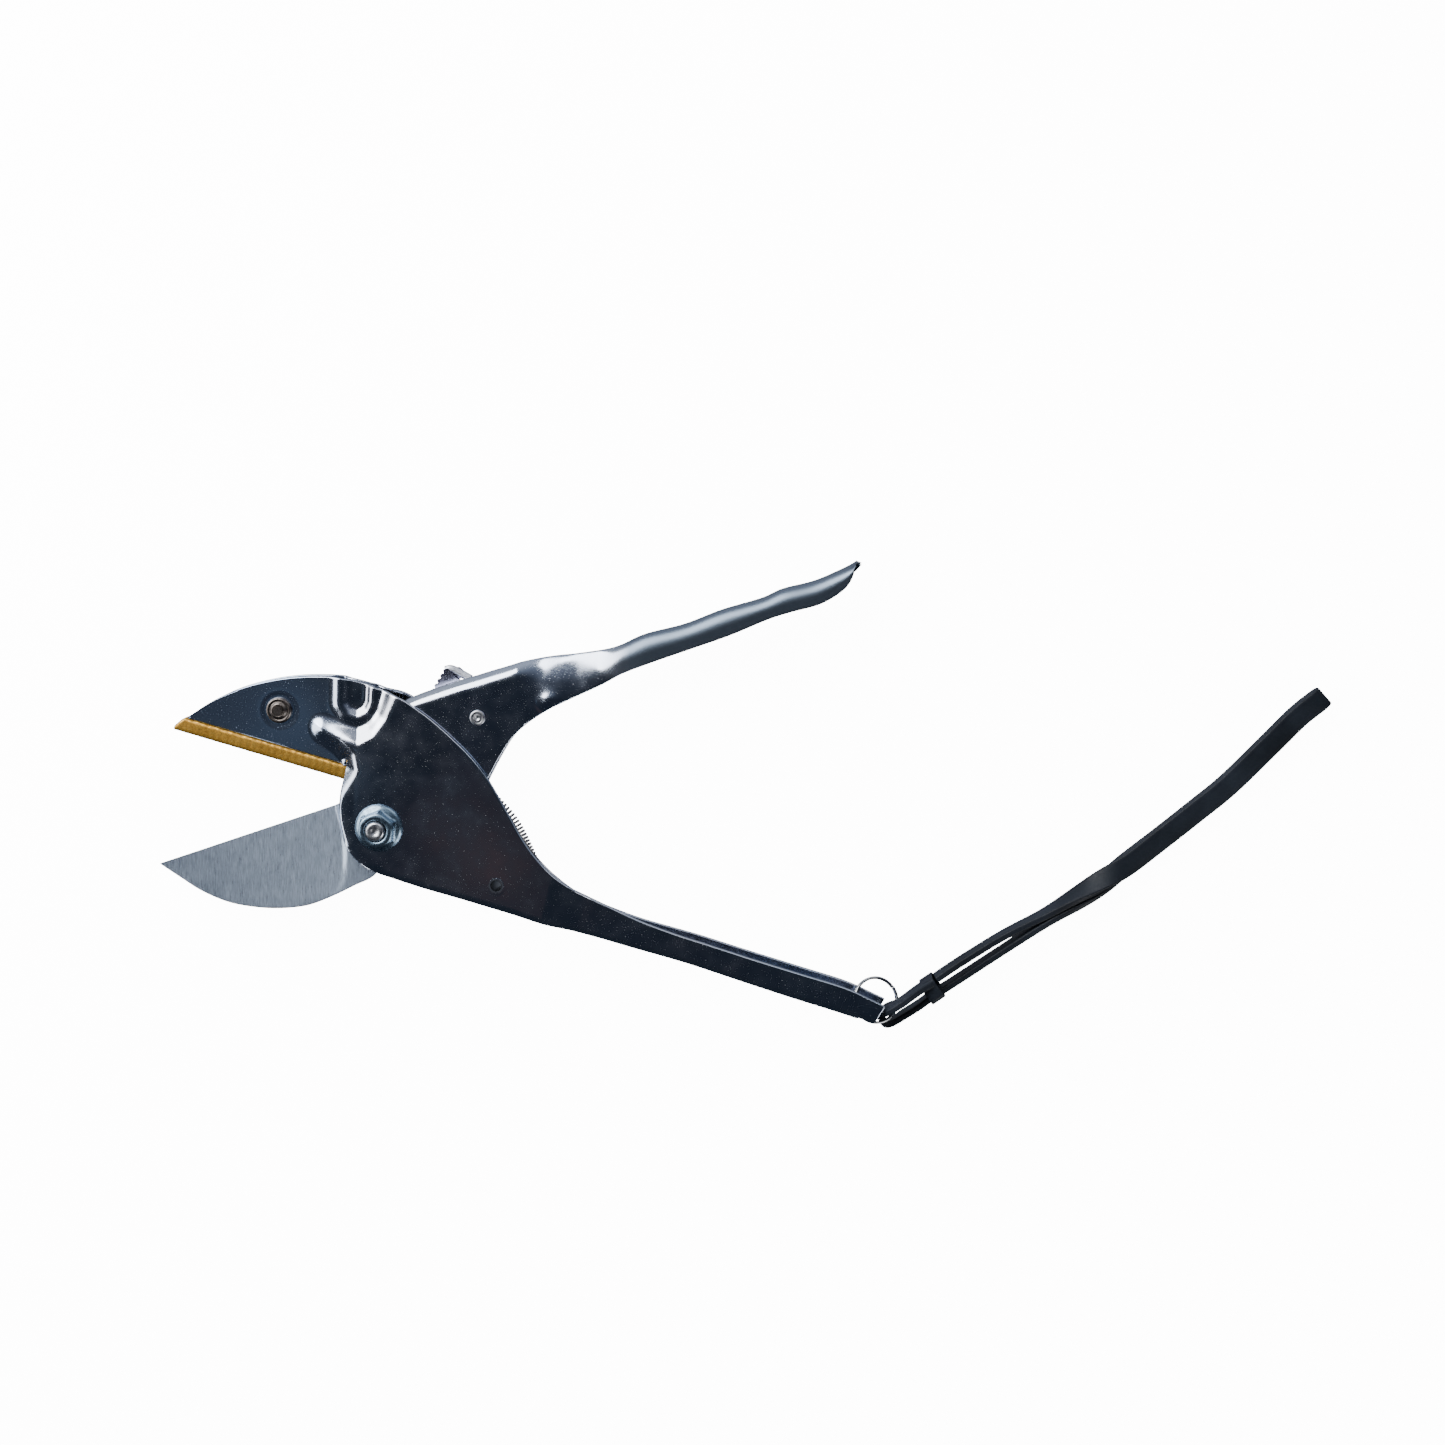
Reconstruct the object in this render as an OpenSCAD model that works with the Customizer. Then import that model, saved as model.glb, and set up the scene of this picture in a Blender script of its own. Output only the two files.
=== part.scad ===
// Anvil-type hoof nipper: a folded sheet body with a brass anvil, a sprung lever that carries
// the blade, a side catch, and a wrist strap on a split ring.
// It lies on its side: +Z is the pivot axis, +X runs from the jaws to the handles.

/* [Body] */
// Thickness of the body's sheet
body_sheet = 1.6; // [1.4:0.1:1.6]
// Outer width of the pivot housing
housing_w = 12.5; // [12.5:0.1:12.8]
// Outer width of the lower handle
handle_w = 9.5; // [9.5:0.1:10]
// Gap between the jaw plates, filled by the anvil's stem
jaw_gap = 3.0; // [3:0.1:3.2]
// Height of the body's middle plane above the surface it lies on
mid_z = 8.5; // [8.5:0.1:9]

/* [Lever] */
// Thickness of the upper handle's sheet
lever_sheet = 1.5; // [1.3:0.1:1.5]
// Outer width of the upper handle
lever_w = 8.7; // [8.5:0.1:8.7]
// Thickness of the blade
blade_t = 3.0; // [2.6:0.1:3]
// Angle that the lever turns from open to closed
close_angle = 35; // [35:1:35]

/* [Anvil] */
// Distance from the pivot axis to the anvil's working face
anvil_reach = 10.2; // [10.2:0.05:10.4]
// Height of the brass head
anvil_head_h = 4.6; // [4:0.1:4.6]
// Width of the brass head
anvil_head_w = 6.4; // [6.2:0.1:7]

/* [Fasteners] */
// Radius of the pivot bolt
bolt_r = 3.0; // [3:0.05:3]
// Running clearance of the pivot and the catch, on the radius
run_gap = 0.05; // [0.02:0.01:0.1]
// Distance across the flats of the pivot nut
nut_flats = 10; // [9.5:0.1:10]
// Bore radius of the hollow rivet
eyelet_r = 1.55; // [1.4:0.05:1.6]

/* [Spring] */
// Outer radius of the coil
spring_r = 2.75; // [2.5:0.05:2.8]
// Wire diameter
spring_wire = 0.8; // [0.6:0.05:0.8]
// Number of coils
spring_turns = 40; // [30:1:44]

/* [Ring and strap] */
// Mean radius of the split ring
ring_r = 6.7; // [6.6:0.05:6.8]
// Tilt of the ring out of the tool's plane
ring_tilt = 28; // [26:1:30]
// Width of the strap
strap_w = 6.4; // [6:0.1:6.4]
// Thickness of the strap
strap_t = 2.0; // [1.6:0.1:2]

/* [Hidden] */
$fn = 48;

edge_angle = 19;
face_angle = -16;
edge_reach = 10;
past = 1;

housing_top = mid_z + housing_w / 2;
jaw_w = jaw_gap + 2 * body_sheet;
jaw_top = mid_z + jaw_w / 2;
jaw_bottom = mid_z - jaw_w / 2;
lever_top = mid_z + lever_w / 2;
lever_bottom = mid_z - lever_w / 2;
lever_in = lever_w - 2 * lever_sheet;
spacer_t = (lever_in - blade_t) / 2;

bolt_head_r = 6;
bolt_end = mid_z + 12.3;
flange_r = 7.1;
flange_t = 1.3;
nut_h = 5.3;
nut_turn = -8;

screw_at = [-29.7, 34.7];
screw_r = 1.45;
screw_hole_r = 1.5;
anvil_left = -67;
anvil_right = -13.8;
anvil_nut_r = 3.6;
anvil_nut_h = 1.9;

eyelet_at = [34.9, -17.1];
eyelet_tube_r = 1.9;
eyelet_flange_r = 2.25;
eyelet_flange_t = 0.45;

blade_rivet_at = [15, 12];
blade_rivet_r = 2;

catch_at = [29.9, 33.1];
catch_shank_r = 1.5;
catch_low = mid_z - 6.1;
catch_high = mid_z - 4.75;
catch_nose = 9.8;
catch_nose_w = 3;
catch_open_angle = 304.5;
catch_turn = 35;
notch_gap = 0.6;

spring_low = [52.5, -26.8];
spring_high = [18.9, 39.6];
peg_r = 1.5;
peg_len = 4;
peg_set = 1.6;

ring_at = [148.1, -52.5, mid_z - 1.1];
ring_wire = 0.9;
ring_stack = 1.6;
ring_gap = 0.35;

keeper_at = [165, -49.2, mid_z - 3.4];
keeper_angle = 36;
keeper_len = 4.4;
keeper_wall = 0.5;

// Centre line of the strap: x, y, z and its turn from standing on edge (0) to lying flat (90).
// It leaves the keeper, passes round the ring, back through the keeper, out to the far fold
// and back again.
STRAP_ROUTE = [
    [164.4, -46.9, 6.5, 0], [160.5, -48.9, 8.8, 0], [156.4, -51.5, 10.7, 0], [153.6, -53.4, 10.8, 0],
    [150.9, -55.8, 7.0, 0], [149.8, -58.4, 3.4, 0], [151.0, -60.7, 3.3, 0], [153.2, -60.3, 3.4, 0],
    [157.0, -57.7, 3.5, 0], [161.0, -54.9, 3.8, 0], [165.0, -51.8, 3.9, 0], [173.5, -46.0, 3.7, 0],
    [186.7, -36.8, 3.5, 0], [199.3, -28.0, 3.5, 5], [208.8, -21.6, 3.6, 25], [216.0, -16.0, 2.6, 60],
    [222.5, -10.5, 1.3, 90], [231.7, -3.0, 1.1, 90], [241.5, 5.3, 1.1, 90], [251.2, 13.8, 1.1, 90],
    [262.7, 25.9, 1.1, 90], [270.3, 34.0, 1.1, 90], [276.0, 38.9, 1.1, 90], [277.2, 39.9, 2.3, 90],
    [276.0, 38.9, 3.5, 90], [270.3, 34.0, 3.5, 90], [262.7, 25.9, 3.5, 90], [251.2, 13.8, 3.5, 90],
    [241.5, 5.3, 3.5, 90], [231.7, -3.0, 3.5, 90], [222.5, -10.5, 3.8, 90], [215.2, -15.0, 4.7, 60],
    [207.6, -19.7, 4.7, 25], [197.9, -26.1, 3.9, 5], [186.0, -32.6, 4.2, 0], [173.4, -40.6, 5.2, 0],
    [166.0, -45.7, 5.9, 0]
];
strap_heading = 42;
// The strap curls narrower where the ring passes over its fold
pinch_at = [150, -59, 5];
pinch_reach = 4.5;
pinch = 0.42;

// Plate outlines, seen from above
JAW = [[-57.5, 31.7], [-56.9, 32.8], [-49.7, 37.3], [-41.7, 40.9], [-32.9, 43.3], [-25, 44.5],
    [-17.9, 44.8], [-11.7, 44.4], [-4.9, 43], [5.2, 39.6], [8, 36], [2, 22], [-9.4, 17.9]];
HOUSING = [[4.6, 39.8], [10.7, 36.7], [18.3, 30.9], [26, 23.6], [32.8, 15.1], [37.4, 6.8],
    [43.4, -4.2], [48.8, -11.2], [53.6, -15.7], [56, -17.3], [56, -31.5], [48.6, -29.8],
    [40.1, -26.8], [24.3, -22.2], [5.3, -16.8], [-0.6, -14.5], [-6.1, -8.8], [-9.9, -3.3],
    [-10.9, 3.1], [-10.4, 7.8], [-9.2, 14.2], [-8.9, 24.2], [-5.3, 24.7], [-0.7, 27.8],
    [2.4, 33.8]];
HOUSING_INSIDE = [[6.6, 42], [6.3, 38.6], [4.1, 33.1], [0.6, 26.5], [-4.7, 23.1], [-7.3, 22.6],
    [-7.7, 14.2], [-8.9, 7.8], [-9.3, 4], [-13, 3], [-13, -17], [-0.8, -17], [0.2, -13.1],
    [5.8, -15.2], [24.7, -20.6], [40.6, -25.2], [49, -28.2], [57, -29.9], [57, -10], [45, 6],
    [36, 26], [20, 44]];
HANDLE = [[48.8, -11.2], [53.4, -16.1], [66, -22.3], [76.8, -27.8], [88.5, -31.9],
    [105.3, -37.2], [122.1, -42.1], [138.8, -47.4], [150.8, -52.8], [147.3, -58.9],
    [134.7, -55.2], [122, -51.5], [107.7, -46.6], [94.2, -42], [75.6, -36.7], [64.7, -33.4],
    [48.6, -29.8]];
HANDLE_INSIDE = [[50, 0], [50, -28.4], [64.9, -31.7], [76, -35], [94.7, -40.3], [108.2, -44.9],
    [122.5, -49.8], [135.1, -53.5], [160, -60.8], [160, -40]];
LEVER = [[8, 37.8], [16.1, 41], [29.1, 45.2], [38.2, 48], [49.2, 50.8], [58.8, 52],
    [66.8, 53.4], [71.9, 54.8], [79.2, 58], [90.9, 61], [101.7, 65.4], [113.3, 68.8],
    [119.6, 71.6], [128.5, 73.8], [135.6, 76.8], [141.6, 80.1], [140.9, 76.4], [139.2, 73.2],
    [135.6, 70.1], [129.4, 66.5], [115.3, 62.6], [103.8, 57.8], [88.6, 52.3], [75.1, 47.3],
    [62, 40.7], [54, 37.1], [47.6, 33.6], [43.4, 30.4], [39.6, 26.6], [35.8, 20.7],
    [32.7, 15], [30, 9], [22, 0.5], [12, -4], [5, -5.8], [-5.9, 5], [-2, 15], [6, 30]];
LEVER_INSIDE = [[-5, 31.3], [8, 36.2], [16.6, 39.5], [29.6, 43.7], [38.6, 46.5], [49.4, 49.3],
    [58.9, 50.5], [67.1, 51.9], [72.4, 53.4], [79.6, 56.5], [91.3, 59.5], [102.2, 63.9],
    [113.8, 67.3], [120, 70.1], [128.9, 72.3], [136.2, 75.3], [150, 81.4], [150, 55], [100, 40],
    [60, 20], [40, -5], [20, -20], [-20, -20], [-20, 20]];
BLADE = [[-68, -12.84], [-11.3, 6.68], [-6, 7.4], [4, 17], [19, 17], [21, 8], [9, -4],
    [1, -10.5], [-3, -15.8], [-14, -21.3], [-23.7, -25.3], [-31.8, -26.2], [-39.8, -26.1],
    [-49.4, -24.2], [-59.7, -19.5], [-66.5, -14.6]];
CATCH = [[26.4, 30.2], [14.1, 39.2], [18.3, 46.2], [19.6, 46.6], [21.8, 43.8], [33.2, 36.6]];
TAB_FLANGE = [[17.6, 45.1], [21.2, 42.6], [25.4, 44.2], [22.6, 46.6], [19.2, 46.6]];

function add(p, q) = [p[0] + q[0], p[1] + q[1]];
function from_to(a, b) = [b[0] - a[0], b[1] - a[1]];

// A plate cut from an outline, between two heights
module plate(outline, low, high) {
    translate([0, 0, low])
        linear_extrude(high - low)
            polygon(outline);
}

// A round bar or hole standing on the tool's plane
module round_bar(at, r, low, high) {
    translate([at[0], at[1], low])
        cylinder(h = high - low, r = r);
}

// Puts children on the anvil's face: x along the face, y away from the pivot
module on_face() {
    rotate([0, 0, face_angle])
        translate([0, anvil_reach, mid_z])
            children();
}

// Puts children on the spring's axis, z running from its lower end to its upper end
module on_spring() {
    run = from_to(spring_low, spring_high);
    translate([spring_low[0], spring_low[1], mid_z])
        rotate([0, 0, atan2(run[1], run[0])])
            rotate([0, 90, 0])
                children();
}

spring_run = from_to(spring_low, spring_high);
spring_len = norm(spring_run);

module body() {
    latch_rad = norm(catch_at);
    latch_dir = atan2(catch_at[1], catch_at[0]) - close_angle;
    nose_dir = catch_open_angle - catch_turn - close_angle;
    color([0.13, 0.14, 0.16])
        difference() {
            union() {
                plate(JAW, jaw_bottom, jaw_top);
                plate(HOUSING, mid_z - housing_w / 2, housing_top);
                plate(HANDLE, mid_z - handle_w / 2, mid_z + handle_w / 2);
            }
            // slot for the anvil's stem and the blade
            translate([-70, 10, mid_z - jaw_gap / 2])
                cube([82, 40, jaw_gap]);
            translate([-14, 2, mid_z - jaw_gap / 2 - 0.35])
                cube([8, 15.2, jaw_gap + 0.7]);
            plate(HOUSING_INSIDE, mid_z - housing_w / 2 + body_sheet, housing_top - body_sheet);
            plate(HANDLE_INSIDE, mid_z - handle_w / 2 + body_sheet, mid_z + handle_w / 2 - body_sheet);
            round_bar([0, 0], bolt_r, -past, housing_top + past);
            round_bar(screw_at, screw_hole_r, -past, housing_top + past);
            round_bar(eyelet_at, eyelet_tube_r, -past, housing_top + past);
            // seat of the anvil's head
            on_face()
                translate([-80, -5, -10])
                    cube([80 + anvil_right, anvil_head_h + 5, 20]);
            // slot that the split ring passes through in the handle's spine
            ring_band(ring_gap);
            // notch in the back plate that the catch drops into
            translate([latch_rad * cos(latch_dir), latch_rad * sin(latch_dir), -past])
                for (swing = [0 : catch_turn / 5 : catch_turn])
                    rotate([0, 0, nose_dir + swing])
                        translate([0, -catch_nose_w / 2 - notch_gap, 0])
                            cube([catch_nose + notch_gap, catch_nose_w + 2 * notch_gap, mid_z - 2]);
            on_spring()
                translate([0, 0, -peg_set])
                    cylinder(h = peg_len, r = peg_r);
        }
}

module body_eyelet() {
    low = mid_z - housing_w / 2;
    color([0.8, 0.8, 0.82])
        difference() {
            union() {
                round_bar(eyelet_at, eyelet_tube_r, low - 0.1, housing_top + 0.1);
                round_bar(eyelet_at, eyelet_flange_r, housing_top, housing_top + eyelet_flange_t);
                round_bar(eyelet_at, eyelet_flange_r, low - eyelet_flange_t, low);
            }
            round_bar(eyelet_at, eyelet_r, 0, housing_top + 2);
        }
}

module anvil() {
    left = anvil_left;
    right = anvil_right;
    nose = 2;
    stem_h = 9;
    boss_h = 19;
    along = screw_at[0] * cos(face_angle) + screw_at[1] * sin(face_angle);
    color([0.75, 0.56, 0.22])
        difference() {
            on_face() {
                translate([0, 0, -anvil_head_w / 2])
                    linear_extrude(anvil_head_w)
                        polygon([[left, 0], [right, 0], [right, anvil_head_h],
                            [left + nose + 0.5, anvil_head_h], [left, 1.4]]);
                translate([left + 8, anvil_head_h - 0.5, -jaw_gap / 2])
                    cube([right - left - 10, stem_h - anvil_head_h, jaw_gap]);
                translate([along - 8, anvil_head_h - 0.5, -jaw_gap / 2])
                    cube([16, boss_h - anvil_head_h, jaw_gap]);
            }
            round_bar(screw_at, screw_hole_r, 0, 20);
        }
}

module anvil_screw() {
    head_h = 1.8;
    color([0.62, 0.6, 0.56])
        translate([screw_at[0], screw_at[1], 0])
            rotate_extrude()
                polygon([[0, jaw_bottom - head_h], [2.6, jaw_bottom - head_h],
                    [3.5, jaw_bottom - head_h + 0.7], [3.5, jaw_bottom], [screw_r, jaw_bottom],
                    [screw_r, jaw_top + anvil_nut_h + 0.1], [0, jaw_top + anvil_nut_h + 0.1]]);
}

module anvil_nut() {
    slot_turn = -50;
    color([0.66, 0.62, 0.55])
        difference() {
            translate([screw_at[0], screw_at[1], jaw_top])
                rotate_extrude()
                    polygon([[screw_hole_r, 0], [anvil_nut_r, 0], [anvil_nut_r, 1],
                        [anvil_nut_r - 0.5, 1.5], [anvil_nut_r - 1.4, anvil_nut_h],
                        [screw_hole_r, anvil_nut_h]]);
            translate([screw_at[0], screw_at[1], jaw_top + anvil_nut_h - 0.8])
                rotate([0, 0, slot_turn])
                    translate([-5, -0.4, 0])
                        cube([10, 0.8, 2]);
        }
}

module blade() {
    ground_to = -12;
    edge_half = 0.15;
    color([0.62, 0.63, 0.65])
        difference() {
            union() {
                plate(BLADE, mid_z - blade_t / 2, mid_z + blade_t / 2);
                round_bar([0, 0], 9, mid_z - blade_t / 2, mid_z + blade_t / 2);
            }
            // the two ground faces that meet at the cutting edge
            for (side = [-1, 1])
                translate([0, 0, mid_z])
                    rotate([0, 0, edge_angle])
                        translate([-80, 0, 0])
                            rotate([90, 0, 90])
                                linear_extrude(80 + ground_to)
                                    polygon([[edge_reach + 1, side * 0.1],
                                        [edge_reach, side * edge_half],
                                        [edge_reach - 25, side * blade_t / 2],
                                        [edge_reach - 25, side * 3], [edge_reach + 1, side * 3]]);
            round_bar([0, 0], bolt_r + run_gap, 0, 20);
            round_bar(blade_rivet_at, blade_rivet_r, 0, 20);
        }
}

module blade_rivet() {
    color([0.7, 0.7, 0.72])
        round_bar(blade_rivet_at, blade_rivet_r, lever_bottom, lever_top);
}

// Plate that fills the gap between the blade and one wall of the upper handle
module spacer(low) {
    hub_r = 6.2;
    end_r = 4.2;
    reach = norm(blade_rivet_at);
    difference() {
        union() {
            round_bar([0, 0], hub_r, low, low + spacer_t);
            round_bar(blade_rivet_at, end_r, low, low + spacer_t);
            translate([0, 0, low])
                rotate([0, 0, atan2(blade_rivet_at[1], blade_rivet_at[0])])
                    translate([0, -end_r, 0])
                        cube([reach, 2 * end_r, spacer_t]);
        }
        round_bar([0, 0], bolt_r + run_gap, 0, 20);
        round_bar(blade_rivet_at, blade_rivet_r, 0, 20);
    }
}

module spacer_front() {
    color([0.55, 0.56, 0.58])
        spacer(mid_z + blade_t / 2);
}

module spacer_back() {
    color([0.55, 0.56, 0.58])
        spacer(mid_z - blade_t / 2 - spacer_t);
}

module upper_handle() {
    color([0.1, 0.12, 0.2])
        difference() {
            union() {
                plate(LEVER, lever_bottom, lever_top);
                round_bar([0, 0], 7.7, lever_bottom, lever_top);
            }
            plate(LEVER_INSIDE, lever_bottom + lever_sheet, lever_top - lever_sheet);
            round_bar([0, 0], bolt_r + run_gap, 0, 20);
            round_bar(blade_rivet_at, blade_rivet_r, 0, 20);
            round_bar(catch_at, catch_shank_r, 0, 20);
            on_spring()
                translate([0, 0, spring_len + peg_set - peg_len])
                    cylinder(h = peg_len, r = peg_r);
        }
}

module pivot_bolt() {
    low = mid_z - housing_w / 2;
    color([0.82, 0.78, 0.78])
        rotate_extrude()
            polygon([[0, 0], [bolt_head_r - 0.9, 0], [bolt_head_r, 0.9], [bolt_head_r, low],
                [bolt_r, low], [bolt_r, bolt_end - 0.5], [bolt_r - 0.5, bolt_end], [0, bolt_end]]);
}

module pivot_nut() {
    corner_r = nut_flats / 2 / cos(30);
    color([0.75, 0.79, 0.84])
        translate([0, 0, housing_top])
            difference() {
                union() {
                    rotate_extrude()
                        polygon([[0, 0], [flange_r, 0], [flange_r, 0.6],
                            [nut_flats / 2 - 0.4, flange_t + 0.6], [0, flange_t + 0.6]]);
                    rotate([0, 0, nut_turn])
                        intersection() {
                            cylinder(h = nut_h, r = corner_r, $fn = 6);
                            rotate_extrude()
                                polygon([[0, 0], [corner_r + 1, 0], [corner_r + 1, nut_h - 1.2],
                                    [corner_r - 0.7, nut_h], [0, nut_h]]);
                        }
                }
                translate([0, 0, -past])
                    cylinder(h = nut_h + 2 * past, r = bolt_r);
            }
}

module catch() {
    boss_r = 4.6;
    serrations = 4;
    step = from_to(CATCH[1], CATCH[2]);
    color([0.5, 0.52, 0.56])
        difference() {
            union() {
                plate(CATCH, catch_low, catch_high);
                round_bar(catch_at, boss_r, catch_low, catch_high);
                plate(TAB_FLANGE, 0.6, catch_low + 0.2);
                translate([catch_at[0], catch_at[1], catch_low])
                    rotate([0, 0, catch_open_angle])
                        translate([0, -catch_nose_w / 2, 0])
                            cube([catch_nose, catch_nose_w, catch_high - catch_low]);
            }
            round_bar(catch_at, catch_shank_r + run_gap, 0, 20);
            for (i = [1 : serrations])
                round_bar(add(CATCH[1], step * (i / (serrations + 0.6))), 0.5, 0, 20);
        }
}

module catch_rivet() {
    low = catch_low - 0.05;
    color([0.8, 0.8, 0.82])
        translate([catch_at[0], catch_at[1], 0])
            rotate_extrude()
                polygon([[0, low - 0.9], [2, low - 0.9], [2.6, low - 0.4], [2.6, low],
                    [catch_shank_r, low], [catch_shank_r, lever_top], [2.25, lever_top],
                    [2.25, lever_top + 0.4], [1.7, lever_top + 0.9], [0, lever_top + 0.9]]);
}

module catch_washer() {
    color([0.6, 0.6, 0.62])
        difference() {
            round_bar(catch_at, 3.4, catch_high + 0.05, lever_bottom);
            round_bar(catch_at, catch_shank_r, 0, 20);
        }
}

module return_spring() {
    steps = 8;
    sides = 5;
    coil_r = spring_r - spring_wire / 2;
    wire_r = spring_wire / 2;
    rings = spring_turns * steps;
    rise = (spring_len - spring_wire - 0.4) / rings;
    points = [for (i = [0 : rings], k = [0 : sides - 1])
        let (turn = i * 360 / steps, around = k * 360 / sides, out = coil_r + wire_r * cos(around))
            [out * cos(turn), out * sin(turn), wire_r + 0.2 + i * rise + wire_r * sin(around)]];
    quads = [for (i = [0 : rings - 1], k = [0 : sides - 1])
        let (a = i * sides + k, b = i * sides + (k + 1) % sides)
            each [[a, b + sides, a + sides], [a, b, b + sides]]];
    ends = [[for (k = [sides - 1 : -1 : 0]) k], [for (k = [0 : sides - 1]) rings * sides + k]];
    color([0.7, 0.71, 0.74])
        on_spring()
            polyhedron(points, concat(quads, ends));
}

module spring_peg_lower() {
    color([0.5, 0.5, 0.52])
        on_spring()
            translate([0, 0, -peg_set])
                cylinder(h = peg_len, r = peg_r);
}

module spring_peg_upper() {
    color([0.5, 0.5, 0.52])
        on_spring()
            translate([0, 0, spring_len + peg_set - peg_len])
                cylinder(h = peg_len, r = peg_r);
}

// The ring's band, or the space that it needs when grown
module ring_band(grow) {
    translate(ring_at)
        rotate(a = ring_tilt, v = [-1, 1, 0])
            rotate_extrude()
                translate([ring_r, 0])
                    square([ring_wire + 2 * grow, ring_stack + 2 * grow], center = true);
}

module split_ring() {
    color([0.78, 0.79, 0.8])
        ring_band(0);
}

// A point of a smooth curve through four route points, t of the way from b to c
function curve(a, b, c, d, t) =
    (2 * b + (c - a) * t + (2 * a - 5 * b + 4 * c - d) * t * t
        + (3 * b - a - 3 * c + d) * t * t * t) / 2;
function unit(v) = v / norm(v);

module wrist_strap() {
    last = len(STRAP_ROUTE) - 1;
    line = [for (i = [0 : last - 1], t = [0, 0.5])
            curve(STRAP_ROUTE[max(i - 1, 0)], STRAP_ROUTE[i], STRAP_ROUTE[i + 1],
                STRAP_ROUTE[min(i + 2, last)], t), STRAP_ROUTE[last]];
    n = len(line);
    w = strap_w / 2;
    t = strap_t / 2;
    c = 0.4;
    section = [[w, t - c], [w - c, t], [c - w, t], [-w, t - c], [-w, c - t], [c - w, -t],
        [w - c, -t], [w, c - t]];
    sides = len(section);
    place = [for (p = line) [p[0], p[1], p[2]]];
    points = [for (i = [0 : n - 1])
        let (ahead = unit(place[min(i + 1, n - 1)] - place[max(i - 1, 0)]),
            turn = line[i][3],
            rough = [sin(turn) * sin(strap_heading), -sin(turn) * cos(strap_heading), cos(turn)],
            out = unit(cross(ahead, rough)),
            wide = cross(out, ahead),
            near = norm(place[i] - pinch_at) / pinch_reach,
            squeeze = 1 - pinch * exp(-near * near))
            for (s = section) place[i] + wide * s[0] * squeeze + out * s[1]];
    quads = [for (i = [0 : n - 2], k = [0 : sides - 1])
        let (a = i * sides + k, b = i * sides + (k + 1) % sides)
            each [[a, b + sides, b], [a, a + sides, b + sides]]];
    ends = [[for (k = [0 : sides - 1]) k], [for (k = [sides - 1 : -1 : 0]) (n - 1) * sides + k]];
    color([0.04, 0.05, 0.08])
        polyhedron(points, concat(quads, ends));
}

module strap_keeper() {
    deep = 6.9;
    tall = 9.0;
    color([0.05, 0.06, 0.09])
        translate(keeper_at)
            rotate([0, 0, keeper_angle])
                difference() {
                    cube([keeper_len, deep + 2 * keeper_wall, tall + 2 * keeper_wall], center = true);
                    cube([keeper_len + 2, deep, tall], center = true);
                }
}

body();
body_eyelet();
anvil();
anvil_screw();
anvil_nut();
blade();
blade_rivet();
spacer_front();
spacer_back();
upper_handle();
pivot_bolt();
pivot_nut();
catch();
catch_rivet();
catch_washer();
return_spring();
spring_peg_upper();
spring_peg_lower();
split_ring();
wrist_strap();
strap_keeper();
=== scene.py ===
import math

import bmesh
import bpy
import numpy as np
from mathutils import Matrix, Vector
from mathutils.kdtree import KDTree


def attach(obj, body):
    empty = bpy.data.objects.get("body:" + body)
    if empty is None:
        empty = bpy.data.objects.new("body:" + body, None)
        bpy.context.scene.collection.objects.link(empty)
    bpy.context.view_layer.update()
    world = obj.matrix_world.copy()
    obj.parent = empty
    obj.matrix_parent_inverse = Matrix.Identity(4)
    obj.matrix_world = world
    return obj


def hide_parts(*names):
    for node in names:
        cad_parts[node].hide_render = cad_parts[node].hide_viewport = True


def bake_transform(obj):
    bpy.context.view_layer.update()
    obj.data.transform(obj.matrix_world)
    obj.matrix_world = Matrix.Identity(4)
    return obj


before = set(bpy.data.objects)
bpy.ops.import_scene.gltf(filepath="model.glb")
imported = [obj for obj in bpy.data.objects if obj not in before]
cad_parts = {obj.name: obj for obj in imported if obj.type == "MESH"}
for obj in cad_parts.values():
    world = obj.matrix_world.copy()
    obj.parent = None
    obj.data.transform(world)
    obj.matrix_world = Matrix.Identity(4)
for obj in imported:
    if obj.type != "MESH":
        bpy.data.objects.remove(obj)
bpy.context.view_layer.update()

# Hoof nipper: the looks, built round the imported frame. Lengths in the dicts are millimetres.
mm = 0.001
midZ = 8.5

cameraLook = {"at": (138.2, 127.2, 608.5), "towards": (102.0, 31.7, 8.5), "lens": 51.4}
strapShape = {"width": 6.4, "thick": 2.0, "heading": 42.0, "pinchAt": (150.0, -59.0, 5.0), "pinchReach": 4.5,
              "pinch": 0.42, "rings": 520}
keeperShape = {"at": (165.0, -49.2, 5.1), "angle": 36.0, "length": 4.6, "deep": 6.4, "tall": 8.2,
               "thick": 0.4}
bodyShape = {"sheet": 1.6, "edge": 0.24, "jaw": 3.1, "housing": 6.25, "handle": 4.75, "foldRadius": 2.1,
             "step": 0.5, "slopeIn": 2.0, "slopeOut": 4.4, "beadHeight": 0.85, "beadWidth": 1.7,
             "tongueDrop": 0.5}
leverShape = {"sheet": 1.5, "edge": 0.24, "half": 4.35, "foldRadius": 4.2, "neckRadius": 10.0, "step": 0.7,
              "bump": 1.15, "dish": 1.9}
bladeShape = {"half": 1.5, "edge": 0.07, "groundTo": 25.0, "angle": 19.0, "reach": 10.0}
anvilShape = {"angle": -16.0, "reach": 10.2, "left": -68.1, "right": -13.8, "height": 4.6, "half": 3.2,
              "stemHalf": 1.5}
springShape = {"radius": 2.35, "wire": 0.4, "turns": 74,
               "line": [(52.5, -26.8), (45.3, -13.5), (38.5, 0.6), (27.4, 13.8), (22.4, 27.5), (18.9, 39.6)]}
studio = {"floor": 13.0, "greySide": (0.0, 0.96, -0.28),
          "room": [(0.3, (0.018, 0.024, 0.036)), (0.5, (0.035, 0.043, 0.06)), (0.68, (0.2, 0.23, 0.29)),
                   (0.95, (0.6, 0.65, 0.75))]}
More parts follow.
